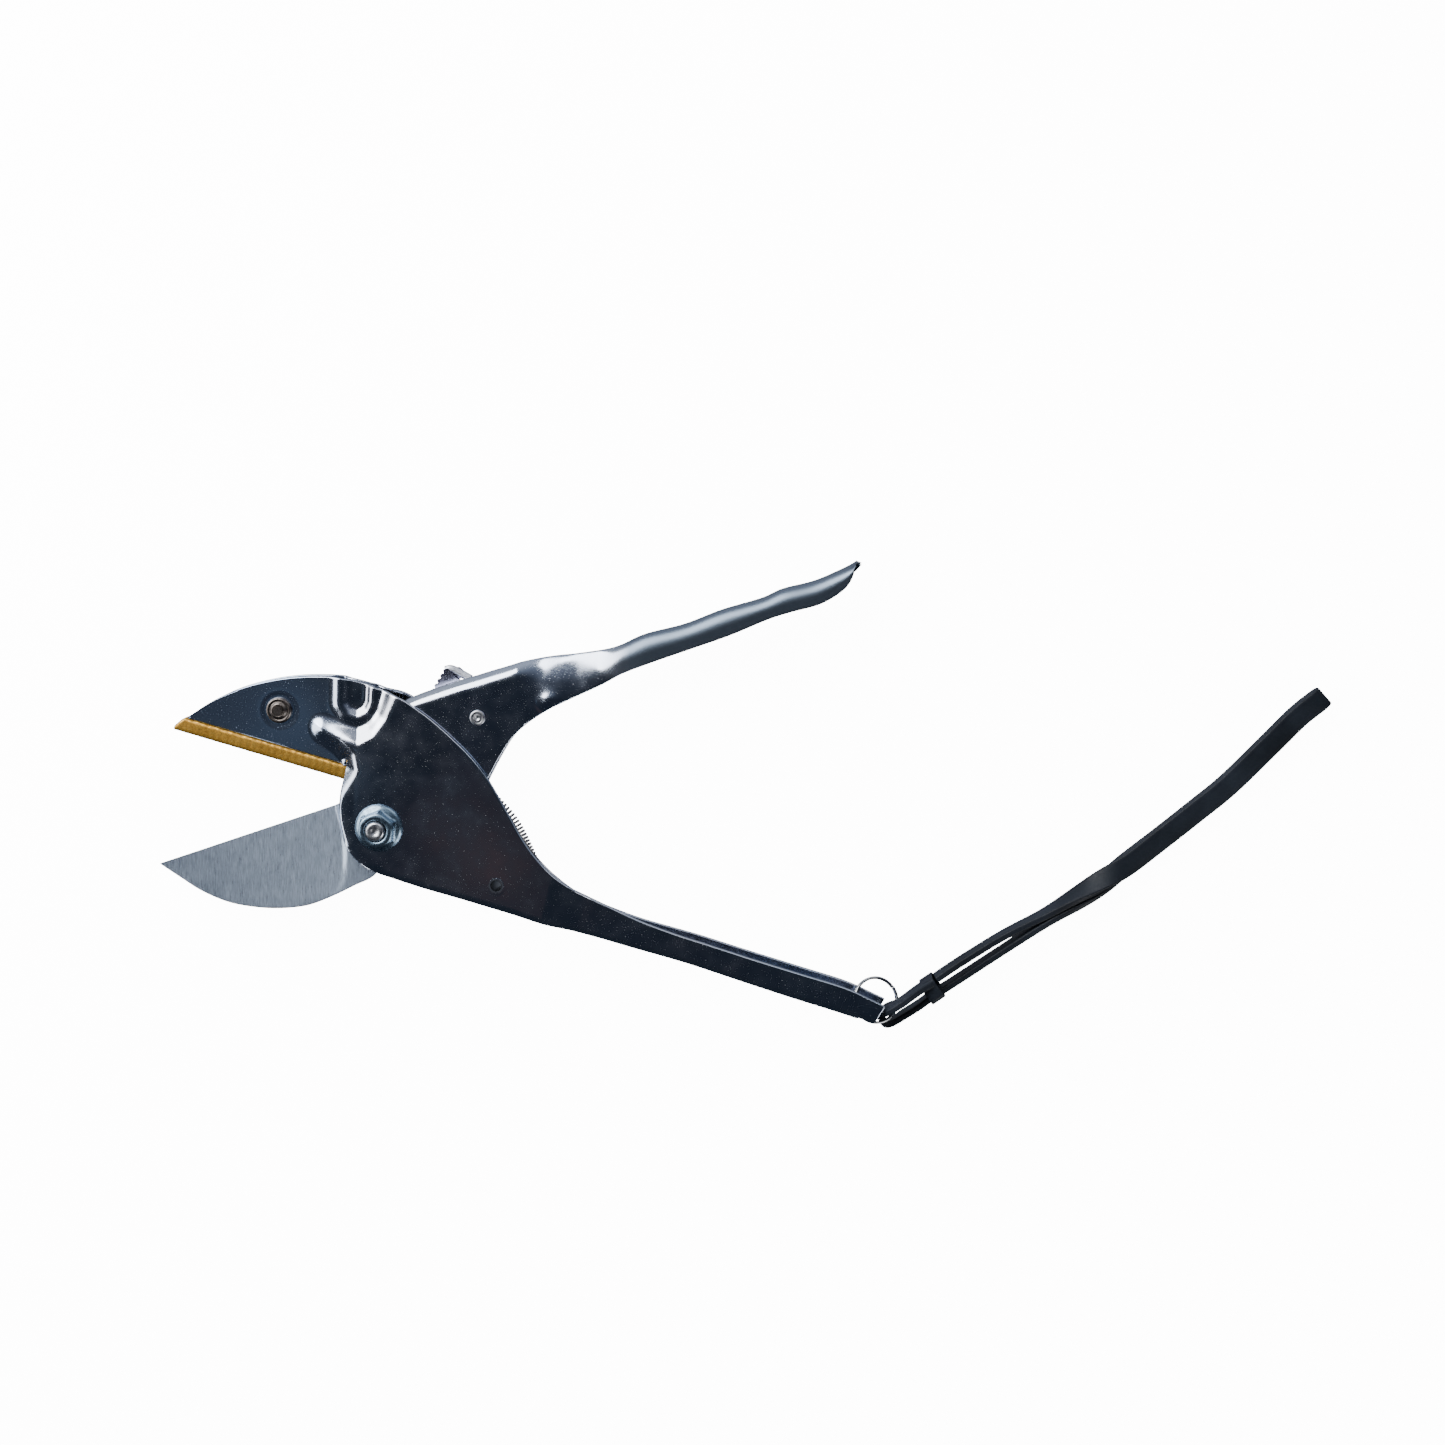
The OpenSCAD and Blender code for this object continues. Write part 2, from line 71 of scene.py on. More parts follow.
ringShape = {"at": (148.1, -52.5, 7.4), "tilt": 28.0, "radius": 6.7, "wire": 0.45, "pitch": 0.85}
nutShape = {"flange": 7.1, "flats": 10.0, "turn": -8.0, "base": 14.75, "height": 5.3}
boltShape = {"radius": 3.0, "head": 6.0, "threadFrom": 16.0, "end": 20.8, "pitch": 1.0}


def addMesh(name, points, faces):
    mesh = bpy.data.meshes.new(name)
    mesh.from_pydata((np.asarray(points) * mm).tolist(), [], [list(map(int, f)) for f in faces])
    mesh.polygons.foreach_set("use_smooth", [True] * len(mesh.polygons))
    mesh.validate()
    mesh.update()
    piece = bpy.data.objects.new(name, mesh)
    bpy.context.scene.collection.objects.link(piece)
    return piece


def gridFaces(rows, cols, loopRows=False, loopCols=False):
    # the four-sided faces between neighbouring rows and columns of a grid of points
    r = np.arange(rows if loopRows else rows - 1)
    c = np.arange(cols if loopCols else cols - 1)
    i, j = np.meshgrid(r, c, indexing="ij")
    i2, j2 = (i + 1) % rows, (j + 1) % cols
    quads = np.stack([i * cols + j, i * cols + j2, i2 * cols + j2, i2 * cols + j], -1)
    return quads.reshape(-1, 4)


def curveThrough(points, t):
    # Catmull-Rom: a smooth curve through given points, t counted in points
    p = np.asarray(points, float)
    i = np.clip(np.floor(t).astype(int), 0, len(p) - 2)
    f = (t - i)[:, None]
    a, b = p[np.maximum(i - 1, 0)], p[i]
    c, d = p[i + 1], p[np.minimum(i + 2, len(p) - 1)]
    bend = (2 * a - 5 * b + 4 * c - d) * f ** 2 + (3 * b - a - 3 * c + d) * f ** 3
    return 0.5 * (2 * b + (c - a) * f + bend)


def unitRows(v):
    return v / np.maximum(np.linalg.norm(v, axis=-1, keepdims=True), 1e-12)


def smoothStep(x, low, high):
    # 0 below low, 1 above high, 3u^2 - 2u^3 between them
    u = np.clip((x - low) / (high - low), 0, 1)
    return u * u * (3 - 2 * u)


def lineDistance(points, line, closed=False):
    # shortest distance from each point to a line of straight pieces
    ends = list(zip(line[:-1], line[1:])) + ([(line[-1], line[0])] if closed else [])
    best = np.full(len(points), 1e9)
    for a, b in ends:
        a, b = np.asarray(a, float), np.asarray(b, float)
        run = b - a
        t = np.clip(((points - a) @ run) / (run @ run), 0, 1)
        best = np.minimum(best, np.linalg.norm(points - a - t[:, None] * run, axis=1))
    return best


def insideOutline(points, outline):
    # a point is inside when a line to its left crosses the outline an odd number of times
    x, y = points[:, 0], points[:, 1]
    inside = np.zeros(len(points), bool)
    for (ax, ay), (bx, by) in zip(outline, outline[1:] + outline[:1]):
        crosses = (ay > y) != (by > y)
        at = (bx - ax) * (y - ay) / (by - ay + 1e-12) + ax
        inside ^= crosses & (x < at)
    return inside


def sweep(path, section, wide, closed=False):
    # carries a section (across, out) along a path; wide gives each ring's across direction
    ahead = np.roll(path, -1, 0) - np.roll(path, 1, 0) if closed else np.gradient(path, axis=0)
    ahead = unitRows(ahead)
    out = unitRows(np.cross(ahead, wide))
    across = np.cross(out, ahead)
    return path[:, None] + across[:, None] * section[None, :, :1] + out[:, None] * section[None, :, 1:]


def roundedBox(halfWide, halfHigh, radius, steps=5):
    # a rectangle's outline with a quarter circle at each corner, as (across, out) points
    corner = np.linspace(0, math.pi / 2, steps)
    parts = []
    for k, (sx, sy) in enumerate([(1, 1), (-1, 1), (-1, -1), (1, -1)]):
        a = corner + k * math.pi / 2
        parts.append(np.stack([sx * (halfWide - radius) + radius * np.cos(a),
                               sy * (halfHigh - radius) + radius * np.sin(a)], 1))
    return np.concatenate(parts)


def tube(name, rings):
    # one ring of points after another, joined into a closed skin with flat ends
    n, m = rings.shape[:2]
    faces = gridFaces(n, m, loopCols=True)[:, ::-1].tolist()
    faces += [list(range(m)), list(range((n - 1) * m, n * m))[::-1]]
    return addMesh(name, rings.reshape(-1, 3), faces)


def turned(name, profile, at=(0, 0), steps=64, shape=None, loop=False):
    # a profile of (radius, height) turned round an upright axis: x = r cos a, y = r sin a.
    # shape gives ring k's radius at each angle
    angle = np.linspace(0, 2 * math.pi, steps, endpoint=False)
    rings = []
    for k, (r, z) in enumerate(profile):
        radius = np.full(steps, float(r)) if shape is None else shape(k, r, angle)
        rings.append(np.stack([at[0] + radius * np.cos(angle), at[1] + radius * np.sin(angle),
                               np.full(steps, float(z))], 1))
    n = len(rings)
    faces = gridFaces(n, steps, loopRows=loop, loopCols=True).tolist()
    if not loop:
        faces += [list(range(steps))[::-1], list(range((n - 1) * steps, n * steps))]
    return addMesh(name, np.concatenate(rings), faces)


def addBevel(piece, width, segments, angle):
    mod = piece.modifiers.new("edges", "BEVEL")
    mod.width = width * mm
    mod.segments = segments
    mod.limit_method = "ANGLE"
    mod.angle_limit = math.radians(angle)
    return mod


def openHole(points, faces, centre, radius, reach):
    # pulls a grid open round its nearest point, so a round hole of that radius is left
    flat = points[:, :2] - np.asarray(centre)
    nearest = int(np.argmin(np.linalg.norm(flat, axis=1)))
    points[:, :2] -= flat[nearest] * np.exp(-(np.linalg.norm(flat, axis=1) / reach) ** 2)[:, None]
    flat = points[:, :2] - np.asarray(centre)
    away = np.linalg.norm(flat, axis=1)
    near = (away < reach) & (away > 1e-6)
    grown = radius + away * (1 - radius / reach)
    points[near, :2] = np.asarray(centre) + flat[near] / away[near, None] * grown[near, None]
    touching = (faces == nearest).any(1)
    rim = np.setdiff1d(np.unique(faces[touching]), [nearest])
    flat = unitRows(points[rim, :2] - np.asarray(centre))
    points[rim, :2] = np.asarray(centre) + flat * radius
    return points, faces[~touching]


def newMaterial(name, colour, metal, rough):
    mat = bpy.data.materials.new(name)
    mat.use_nodes = True
    shader = mat.node_tree.nodes["Principled BSDF"]
    shader.inputs["Base Color"].default_value = (*colour, 1)
    shader.inputs["Metallic"].default_value = metal
    shader.inputs["Roughness"].default_value = rough
    return mat, mat.node_tree, shader


def objectSpace(tree, scale=(1, 1, 1), turn=(0, 0, 0), shift=(0, 0, 0)):
    coords = tree.nodes.new("ShaderNodeTexCoord")
    place = tree.nodes.new("ShaderNodeMapping")
    place.inputs["Scale"].default_value = scale
    place.inputs["Rotation"].default_value = [math.radians(a) for a in turn]
    place.inputs["Location"].default_value = shift
    tree.links.new(coords.outputs["Object"], place.inputs["Vector"])
    return place.outputs["Vector"]


def noise(tree, space, scale, detail=3.0, rough=0.55):
    node = tree.nodes.new("ShaderNodeTexNoise")
    node.inputs["Scale"].default_value = scale
    node.inputs["Detail"].default_value = detail
    node.inputs["Roughness"].default_value = rough
    tree.links.new(space, node.inputs["Vector"])
    return node.outputs["Fac"]


def ramp(tree, value, stops):
    node = tree.nodes.new("ShaderNodeValToRGB")
    while len(node.color_ramp.elements) < len(stops):
        node.color_ramp.elements.new(0.5)
    for element, (at, colour) in zip(node.color_ramp.elements, stops):
        element.position = at
        element.color = (*colour, 1) if len(colour) == 3 else colour
    tree.links.new(value, node.inputs["Fac"])
    return node.outputs["Color"]


def grey(v):
    return (v, v, v)


def mix(tree, amount, a, b):
    # a where amount is 0, b where it is 1; each may be a number, a colour or a node's output
    node = tree.nodes.new("ShaderNodeMix")
    node.data_type = "RGBA"
    for socket, value in ((node.inputs[0], amount), (node.inputs[6], a), (node.inputs[7], b)):
        if isinstance(value, (int, float)):
            socket.default_value = value
        elif isinstance(value, tuple):
            socket.default_value = (*value, 1)
        else:
            tree.links.new(value, socket)
    return node.outputs[2]


def between(tree, value, low, high):
    # 0 at low, 1 at high, straight between them and held outside; low and high in mm
    node = tree.nodes.new("ShaderNodeMapRange")
    node.inputs["From Min"].default_value = low * mm
    node.inputs["From Max"].default_value = high * mm
    tree.links.new(value, node.inputs["Value"])
    return node.outputs["Result"]


def alongTool(tree, space, low, high):
    parts = tree.nodes.new("ShaderNodeSeparateXYZ")
    tree.links.new(space, parts.inputs[0])
    return between(tree, parts.outputs["X"], low, high)


def addBump(tree, shader, heights):
    # stacks bumps: each is (height, strength, depth in mm)
    last = None
    for height, strength, depth in heights:
        node = tree.nodes.new("ShaderNodeBump")
        node.inputs["Strength"].default_value = strength
        node.inputs["Distance"].default_value = depth * mm
        tree.links.new(height, node.inputs["Height"])
        if last is not None:
            tree.links.new(last, node.inputs["Normal"])
        last = node.outputs["Normal"]
    tree.links.new(last, shader.inputs["Normal"])


def platedMetal(name, cool, warm, rough=0.1, satin=None):
    # bright plate: two slow tints, fine pits, faint waviness and small dull specks
    mat, tree, shader = newMaterial(name, cool, 1.0, rough)
    space = objectSpace(tree)
    tint = ramp(tree, noise(tree, space, 28, 2), [(0.38, cool), (0.62, warm)])
    specks = ramp(tree, noise(tree, space, 2600, 2, 0.7), [(0.66, grey(0)), (0.74, grey(1))])
    colour = mix(tree, specks, tint, (0.62, 0.63, 0.66))
    tree.links.new(colour, shader.inputs["Base Color"])
    worn = noise(tree, space, 160, 4)
    base = ramp(tree, worn, [(0.3, grey(rough * 0.7)), (0.75, grey(rough * 1.7))])
    if satin:
        # between two places along the tool (mm) the plate turns duller and changes tone
        step = alongTool(tree, space, satin["from"], satin["to"])
        base = mix(tree, step, base, grey(satin["rough"]))
        tree.links.new(mix(tree, step, colour, satin["tone"]), shader.inputs["Base Color"])
    tree.links.new(mix(tree, specks, base, grey(0.45)), shader.inputs["Roughness"])
    heights = [(noise(tree, space, 90, 2), 0.25, 0.05), (noise(tree, space, 1500, 2), 0.06, 0.02),
               (specks, 0.35, 0.02)]
    addBump(tree, shader, heights)
    return mat


def groundSteel(name):
    # ground steel: fine lines across the blade, slightly curved, over a soft mottle
    mat, tree, shader = newMaterial(name, (0.46, 0.47, 0.49), 0.75, 0.33)
    bent = tree.nodes.new("ShaderNodeTexWave")
    bent.wave_type = "RINGS"
    bent.rings_direction = "Z"
    bent.inputs["Scale"].default_value = 165
    bent.inputs["Distortion"].default_value = 1.2
    bent.inputs["Detail"].default_value = 2
    bent.inputs["Detail Scale"].default_value = 3
    tree.links.new(objectSpace(tree, shift=(-0.11, 0, 0)), bent.inputs["Vector"])
    lines = bent.outputs["Fac"]
    space = objectSpace(tree)
    fine = noise(tree, objectSpace(tree, scale=(1, 0.05, 1), turn=(0, 0, -4)), 4200, 3, 0.7)
    mottle = noise(tree, space, 55, 4, 0.6)
    colour = ramp(tree, mottle, [(0.3, (0.27, 0.33, 0.42)), (0.7, (0.45, 0.54, 0.67))])
    scratches = ramp(tree, fine, [(0.38, (0.14, 0.175, 0.24)), (0.62, (0.52, 0.62, 0.77))])
    colour = mix(tree, 0.42, colour, scratches)
    # from the tip to the back of the grind the steel gets paler
    paler = alongTool(tree, space, -66, -18)
    colour = mix(tree, paler, mix(tree, 0.3, colour, (0.08, 0.1, 0.14)),
                 mix(tree, 0.28, colour, (0.72, 0.84, 1.0)))
    tree.links.new(colour, shader.inputs["Base Color"])
    tree.links.new(ramp(tree, fine, [(0.3, grey(0.26)), (0.7, grey(0.42))]), shader.inputs["Roughness"])
    addBump(tree, shader, [(lines, 0.12, 0.03), (fine, 0.3, 0.02)])
    return mat


def castBrass(name):
    # cast brass: grainy skin, darker in the hollows, lighter where it rubs
    mat, tree, shader = newMaterial(name, (0.6, 0.34, 0.06), 0.8, 0.38)
    space = objectSpace(tree)
    grain = noise(tree, space, 1500, 4, 0.65)
    large = noise(tree, space, 180, 3)
    colour = ramp(tree, grain, [(0.32, (0.22, 0.1, 0.012)), (0.52, (0.52, 0.28, 0.04)),
                                (0.72, (0.85, 0.55, 0.13))])
    patches = ramp(tree, large, [(0.35, (0.36, 0.18, 0.025)), (0.65, (0.66, 0.38, 0.07))])
    colour = mix(tree, 0.35, colour, patches)
    tree.links.new(colour, shader.inputs["Base Color"])
    tree.links.new(ramp(tree, grain, [(0.3, grey(0.5)), (0.7, grey(0.28))]), shader.inputs["Roughness"])
    addBump(tree, shader, [(large, 0.4, 0.15), (grain, 0.6, 0.08)])
    return mat


def brightMetal(name, colour, rough, scuff=0.15, scale=900):
    # small bright hardware: fine scuffs in tone and gloss
    mat, tree, shader = newMaterial(name, colour, 1.0, rough)
    space = objectSpace(tree)
    fine = noise(tree, space, scale, 4, 0.65)
    dark = tuple(c * (1 - scuff * 2.2) for c in colour)
    tree.links.new(ramp(tree, fine, [(0.35, dark), (0.62, colour)]), shader.inputs["Base Color"])
    gloss = ramp(tree, fine, [(0.3, grey(min(rough * 1.8, 0.7))), (0.7, grey(rough * 0.8))])
    tree.links.new(gloss, shader.inputs["Roughness"])
    addBump(tree, shader, [(fine, 0.25, 0.03)])
    return mat


def strapMaterial(name):
    # black coated strap: satin, with a fine grain and slight streaks along it
    mat, tree, shader = newMaterial(name, (0.006, 0.008, 0.012), 0.0, 0.55)
    space = objectSpace(tree)
    grain = noise(tree, space, 1300, 3, 0.6)
    slow = noise(tree, space, 70, 3)
    colour = ramp(tree, slow, [(0.3, (0.004, 0.006, 0.01)), (0.7, (0.012, 0.016, 0.024))])
    tree.links.new(colour, shader.inputs["Base Color"])
    tree.links.new(ramp(tree, grain, [(0.3, grey(0.6)), (0.7, grey(0.46))]), shader.inputs["Roughness"])
    shader.inputs["Specular IOR Level"].default_value = 0.22
    addBump(tree, shader, [(grain, 0.2, 0.03)])
    return mat


def paint(piece, mat):
    piece.data.materials.clear()
    piece.data.materials.append(mat)


eye = Vector(cameraLook["at"]) * mm
back = (eye - Vector(cameraLook["towards"]) * mm).normalized()
right = Vector((0, 1, 0)).cross(back).normalized()
up = back.cross(right)
cameraData = bpy.data.cameras.new("camera")
cameraData.lens = cameraLook["lens"]
cameraData.sensor_width = 36
camera = bpy.data.objects.new("camera", cameraData)
camera.matrix_world = Matrix(((right.x, up.x, back.x, eye.x), (right.y, up.y, back.y, eye.y),
                              (right.z, up.z, back.z, eye.z), (0, 0, 0, 1)))
bpy.context.scene.collection.objects.link(camera)
bpy.context.scene.camera = camera

# the strap is one flat cord, out of the keeper, round the ring, to the far fold and back: x, y, z, turn
strapRoute = [
    (164.4, -46.9, 6.5, 0), (160.5, -48.9, 8.8, 0), (156.4, -51.5, 10.7, 0), (153.6, -53.4, 10.8, 0),
    (150.9, -55.8, 7.0, 0), (149.8, -58.4, 3.4, 0), (151.0, -60.7, 3.3, 0), (153.2, -60.3, 3.4, 0),
    (157.0, -57.7, 3.5, 0), (161.0, -54.9, 3.8, 0), (165.0, -51.8, 3.9, 0), (173.5, -46.0, 3.7, 0),
    (186.7, -36.8, 3.5, 0), (199.3, -28.0, 3.5, 5), (208.8, -21.6, 3.6, 25), (216.0, -16.0, 2.6, 60),
    (222.5, -10.5, 1.3, 90), (231.7, -3.0, 1.1, 90), (241.5, 5.3, 1.1, 90), (251.2, 13.8, 1.1, 90),
    (262.7, 25.9, 1.1, 90), (270.3, 34.0, 1.1, 90), (276.0, 38.9, 1.1, 90), (277.2, 39.9, 2.3, 90),
    (276.0, 38.9, 3.5, 90), (270.3, 34.0, 3.5, 90), (262.7, 25.9, 3.5, 90), (251.2, 13.8, 3.5, 90),
    (241.5, 5.3, 3.5, 90), (231.7, -3.0, 3.5, 90), (222.5, -10.5, 3.8, 90), (215.2, -15.0, 4.7, 60),
    (207.6, -19.7, 4.7, 25), (197.9, -26.1, 3.9, 5), (186.0, -32.6, 4.2, 0), (173.4, -40.6, 5.2, 0),
    (166.0, -45.7, 5.9, 0)]


def buildStrap(s):
    # a rounded flat section carried along the route's curve, turned from standing to lying as it goes
    t = np.linspace(0, len(strapRoute) - 1, s["rings"])
    line = curveThrough(strapRoute, t)
    path, turn = line[:, :3], np.radians(line[:, 3])
    head = math.radians(s["heading"])
    wide = np.stack([np.sin(turn) * math.sin(head), -np.sin(turn) * math.cos(head), np.cos(turn)], 1)
    # the width shrinks like a bell curve near the ring, where the fold curls
    near = np.linalg.norm(path - np.array(s["pinchAt"]), axis=1) / s["pinchReach"]
    squeeze = 1 - s["pinch"] * np.exp(-near ** 2)
    flat = roundedBox(s["width"] / 2, s["thick"] / 2, 0.55, 6)
    rings = sweep(path, flat, wide)
    centre = path[:, None]
    ahead = unitRows(np.gradient(path, axis=0))
    out = unitRows(np.cross(ahead, wide))
    across = np.cross(out, ahead)
    wideNow = ((rings - centre) * across[:, None]).sum(-1, keepdims=True)
    rings = rings - across[:, None] * wideNow * (1 - squeeze)[:, None, None]
    piece = tube("strap", rings)
    length = float(np.linalg.norm(np.diff(path, axis=0), axis=1).sum())
    return piece, path, length


strap, strapPath, strapLength = buildStrap(strapShape)
strapMat = strapMaterial("strapBlack")
paint(strap, strapMat)
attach(strap, "strap")
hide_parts("wrist_strap")
print("strap", round(strapLength, 1), "mm")


def buildKeeper(k):
    # a thin band carried once round a rounded box that stands across the strap
    loop = roundedBox(k["deep"] / 2 + k["thick"] / 2, k["tall"] / 2 + k["thick"] / 2, 1.4, 10)
    band = roundedBox(k["length"] / 2, k["thick"] / 2, 0.22, 4)
    angle = math.radians(k["angle"])
    side = np.array([-math.sin(angle), math.cos(angle), 0])
    along = np.array([math.cos(angle), math.sin(angle), 0])
    path = np.array(k["at"]) + loop[:, :1] * side + loop[:, 1:] * np.array([0, 0, 1.0])
    rings = sweep(path, band, np.tile(along, (len(path), 1)), closed=True)
    faces = gridFaces(len(path), len(band), loopRows=True, loopCols=True)[:, ::-1]
    return addMesh("keeper", rings.reshape(-1, 3), faces)


keeper = buildKeeper(keeperShape)
paint(keeper, strapMat)
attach(keeper, "strap")
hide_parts("strap_keeper")

# the body is one folded sheet, drawn between its lower and upper outlines
bodyLower = [(-57.6, 31.8), (-50, 29.7), (-42, 27.4), (-33, 24.8), (-25, 22.5), (-18, 20.5),
             (-13, 19.1), (-9.9, 18.1), (-11.0, 14.2), (-11.9, 10.5), (-12.4, 6.8), (-12.6, 3.2),
             (-12.3, -0.4), (-11.2, -4.2), (-9.0, -8.0), (-5.6, -11.5), (-0.9, -14.3), (5.3, -16.6),
             (13, -19), (22, -21.5), (31, -24.1), (40.1, -26.8), (48.6, -29.5), (57, -31.6),
             (65.5, -33.8), (75.6, -36.7), (85, -39.3), (94.2, -42), (107.7, -46.4), (122, -51),
             (134.7, -54.9), (143.5, -57.7), (147.3, -58.9)]
bodyUpper = [(-57.0, 32.7), (-49.7, 37.3), (-41.7, 40.9), (-32.9, 43.3), (-25, 44.5), (-17.9, 44.8),
             (-12, 44.5), (-5, 43), (0, 41.4), (4, 40.1), (8, 38.4), (11.5, 36.1), (15, 33.6),
             (18.5, 30.7), (22, 27.5), (26, 23.6), (29.5, 19.6), (32.8, 15.1), (36, 9.5), (39, 4),
             (42.5, -2.5), (46.5, -8.4), (51.5, -13.8), (57.5, -18.2), (67, -22.9), (77.5, -27.8),
             (88, -31.7), (97.5, -34.7), (110.5, -38.8), (125, -43.2), (138.8, -47.4), (147.5, -51.3),
             (150.8, -52.9)]
throatTop = 7
spineStart = 16
raisedArea = [(5.4, 42), (4.6, 39.5), (1.9, 33.3), (-1.9, 28.2), (-6.0, 26.0), (-12.0, 27.9),
              (-17.0, 29.6), (-16.6, 28.6), (-11.6, 25.6), (-8.0, 21.5), (-7.2, 17), (-12, 10),
              (-16, 0), (0, -30), (200, -100), (200, 60), (20, 60)]
tongueArea = [(-9.6, 46), (-10.0, 37), (-8.6, 34.6), (-6.3, 33.8), (-4.0, 34.9), (-2.8, 37.2), (-2.0, 46)]
eyeletAt = (34.9, -17.1)


def bodyHeight(flat):
    # outer face's height over the middle plane: low at the jaw, stepping up to the housing along the
    # raised area's edge, down again to the handle, with a bead round the tongue
    s = bodyShape
    away = lineDistance(flat, raisedArea, True)
    away = np.where(insideOutline(flat, raisedArea), -away, away)
    rise = 1 - smoothStep(away, -s["slopeIn"], s["slopeOut"])
    fade = smoothStep(flat[:, 0], -18.5, -6)
    h = s["jaw"] + (s["housing"] - s["jaw"]) * rise * (0.62 + 0.38 * fade)
    toHandle = smoothStep(flat[:, 0] - 0.25 * flat[:, 1], 55, 66)
    h -= (s["housing"] - s["handle"]) * toHandle
    edge = lineDistance(flat, tongueArea)
    inTongue = insideOutline(flat, tongueArea)
    signed = np.where(inTongue, -edge, edge)
    bead = np.exp(-((signed - 1.5) / s["beadWidth"]) ** 2) * (1 - 0.85 * rise)
    h += s["beadHeight"] * bead * smoothStep(flat[:, 1], 28.5, 32)
    h -= s["tongueDrop"] * (1 - smoothStep(signed, -1.3, 0.7))
    # slight crowning so that flat plates catch slow reflections
    h += 0.1 * np.sin(flat[:, 0] * 0.11 + 1.0) * np.sin(flat[:, 1] * 0.13)
    nut = np.hypot(flat[:, 0] + 29.7, flat[:, 1] - 34.7)
    h -= 0.18 * np.exp(-((nut - 4.2) / 1.1) ** 2)
    return h


def stationTimes(lower, upper, fine, coarse=None, coarseFrom=99):
    # places along two outlines, counted in their points, no further apart than fine (then coarse) mm
    times = [0.0]
    for i in range(len(lower) - 1):
        run = max(math.dist(lower[i], lower[i + 1]), math.dist(upper[i], upper[i + 1]))
        n = max(2, math.ceil(run / (fine if i < coarseFrom else coarse)))
        times += [i + k / n for k in range(1, n + 1)]
    return np.array(times)


def notchedUpper(low, high):
    # the back plate is a little narrower behind the spring, and stops short of the catch's nose
    centre = np.array([43.45, 9.95])
    t = np.linspace(0, 1, 160)
    line = low[:, None] + (high - low)[:, None] * t[None, :, None]
    rel = line - centre
    away = np.hypot(rel[..., 0], rel[..., 1])
    angle = np.degrees(np.arctan2(rel[..., 1], rel[..., 0])) % 360
    hit = (away < 10.5) & (angle > 222) & (angle < 282)
    first = np.where(hit.any(1), t[hit.argmax(1)], 1)
    x = high[:, 0]
    cutBack = 2.8 * smoothStep(x, 18, 30) * (1 - smoothStep(x, 56, 96))
    first = np.minimum(first, 1 - cutBack / np.linalg.norm(high - low, axis=1))
    return low + (high - low) * first[:, None]


def foldedSheet(lower, upper, times, upRadius, inRadius, foldAmount, reachIn, height, rowCounts,
                corner=None, backUpper=None):
    # each station runs from the middle plane, round the fold's arc, up the wall to its free edge:
    # at angle a the point is upRadius*(1-sin a) up the wall and inRadius*(1-cos a) in from its face.
    # the lower outline turns sharply at its point number corner
    foldRows, wallRows, inRows = rowCounts
    plates = []
    for side in (1, -1):
        if corner:
            first = times <= corner
            low = np.concatenate([curveThrough(lower[:corner + 1], times[first]),
                                  curveThrough(lower[corner:], times[~first] - corner)])
        else:
            low = curveThrough(lower, times)
        high = curveThrough(upper, times)
        if side < 0 and backUpper is not None:
            high = backUpper(low, high)
        run = high - low
        length = np.linalg.norm(run, axis=1)
        way = run / length[:, None]
        f = foldAmount(times)
        r = np.minimum(upRadius(times), 0.62 * length)
        a = np.linspace(math.pi / 2, 0, foldRows + 1)
        upWall = f[:, None] * r[:, None] * (1 - np.sin(a))
        upWall = upWall + (1 - f)[:, None] * r[:, None] * np.linspace(0, 1, foldRows + 1)
        rest = np.linspace(0, 1, wallRows + 1)[1:]
        more = r[:, None] + (length - r)[:, None] * rest
        d = np.concatenate([upWall, more], 1)
        flat = low[:, None] + way[:, None] * d[..., None]
        face = height(flat.reshape(-1, 2)).reshape(d.shape)
        inward = f[:, None] * np.minimum(inRadius, face[:, :1]) * (1 - np.cos(a))
        face -= np.concatenate([inward, np.zeros_like(more)], 1)
        start = face[:, :1]
        ends = reachIn(times, start[:, 0])
        k = np.linspace(1, 0, inRows + 1)[:-1]
        inner = ends[:, None] + (start - ends[:, None]) * (1 - k)
        z = np.concatenate([inner, face], 1)
        xy = np.concatenate([np.repeat(low[:, None], inRows, 1), flat], 1)
        plates.append(np.concatenate([xy, (midZ + side * z)[..., None]], 2))
    return plates


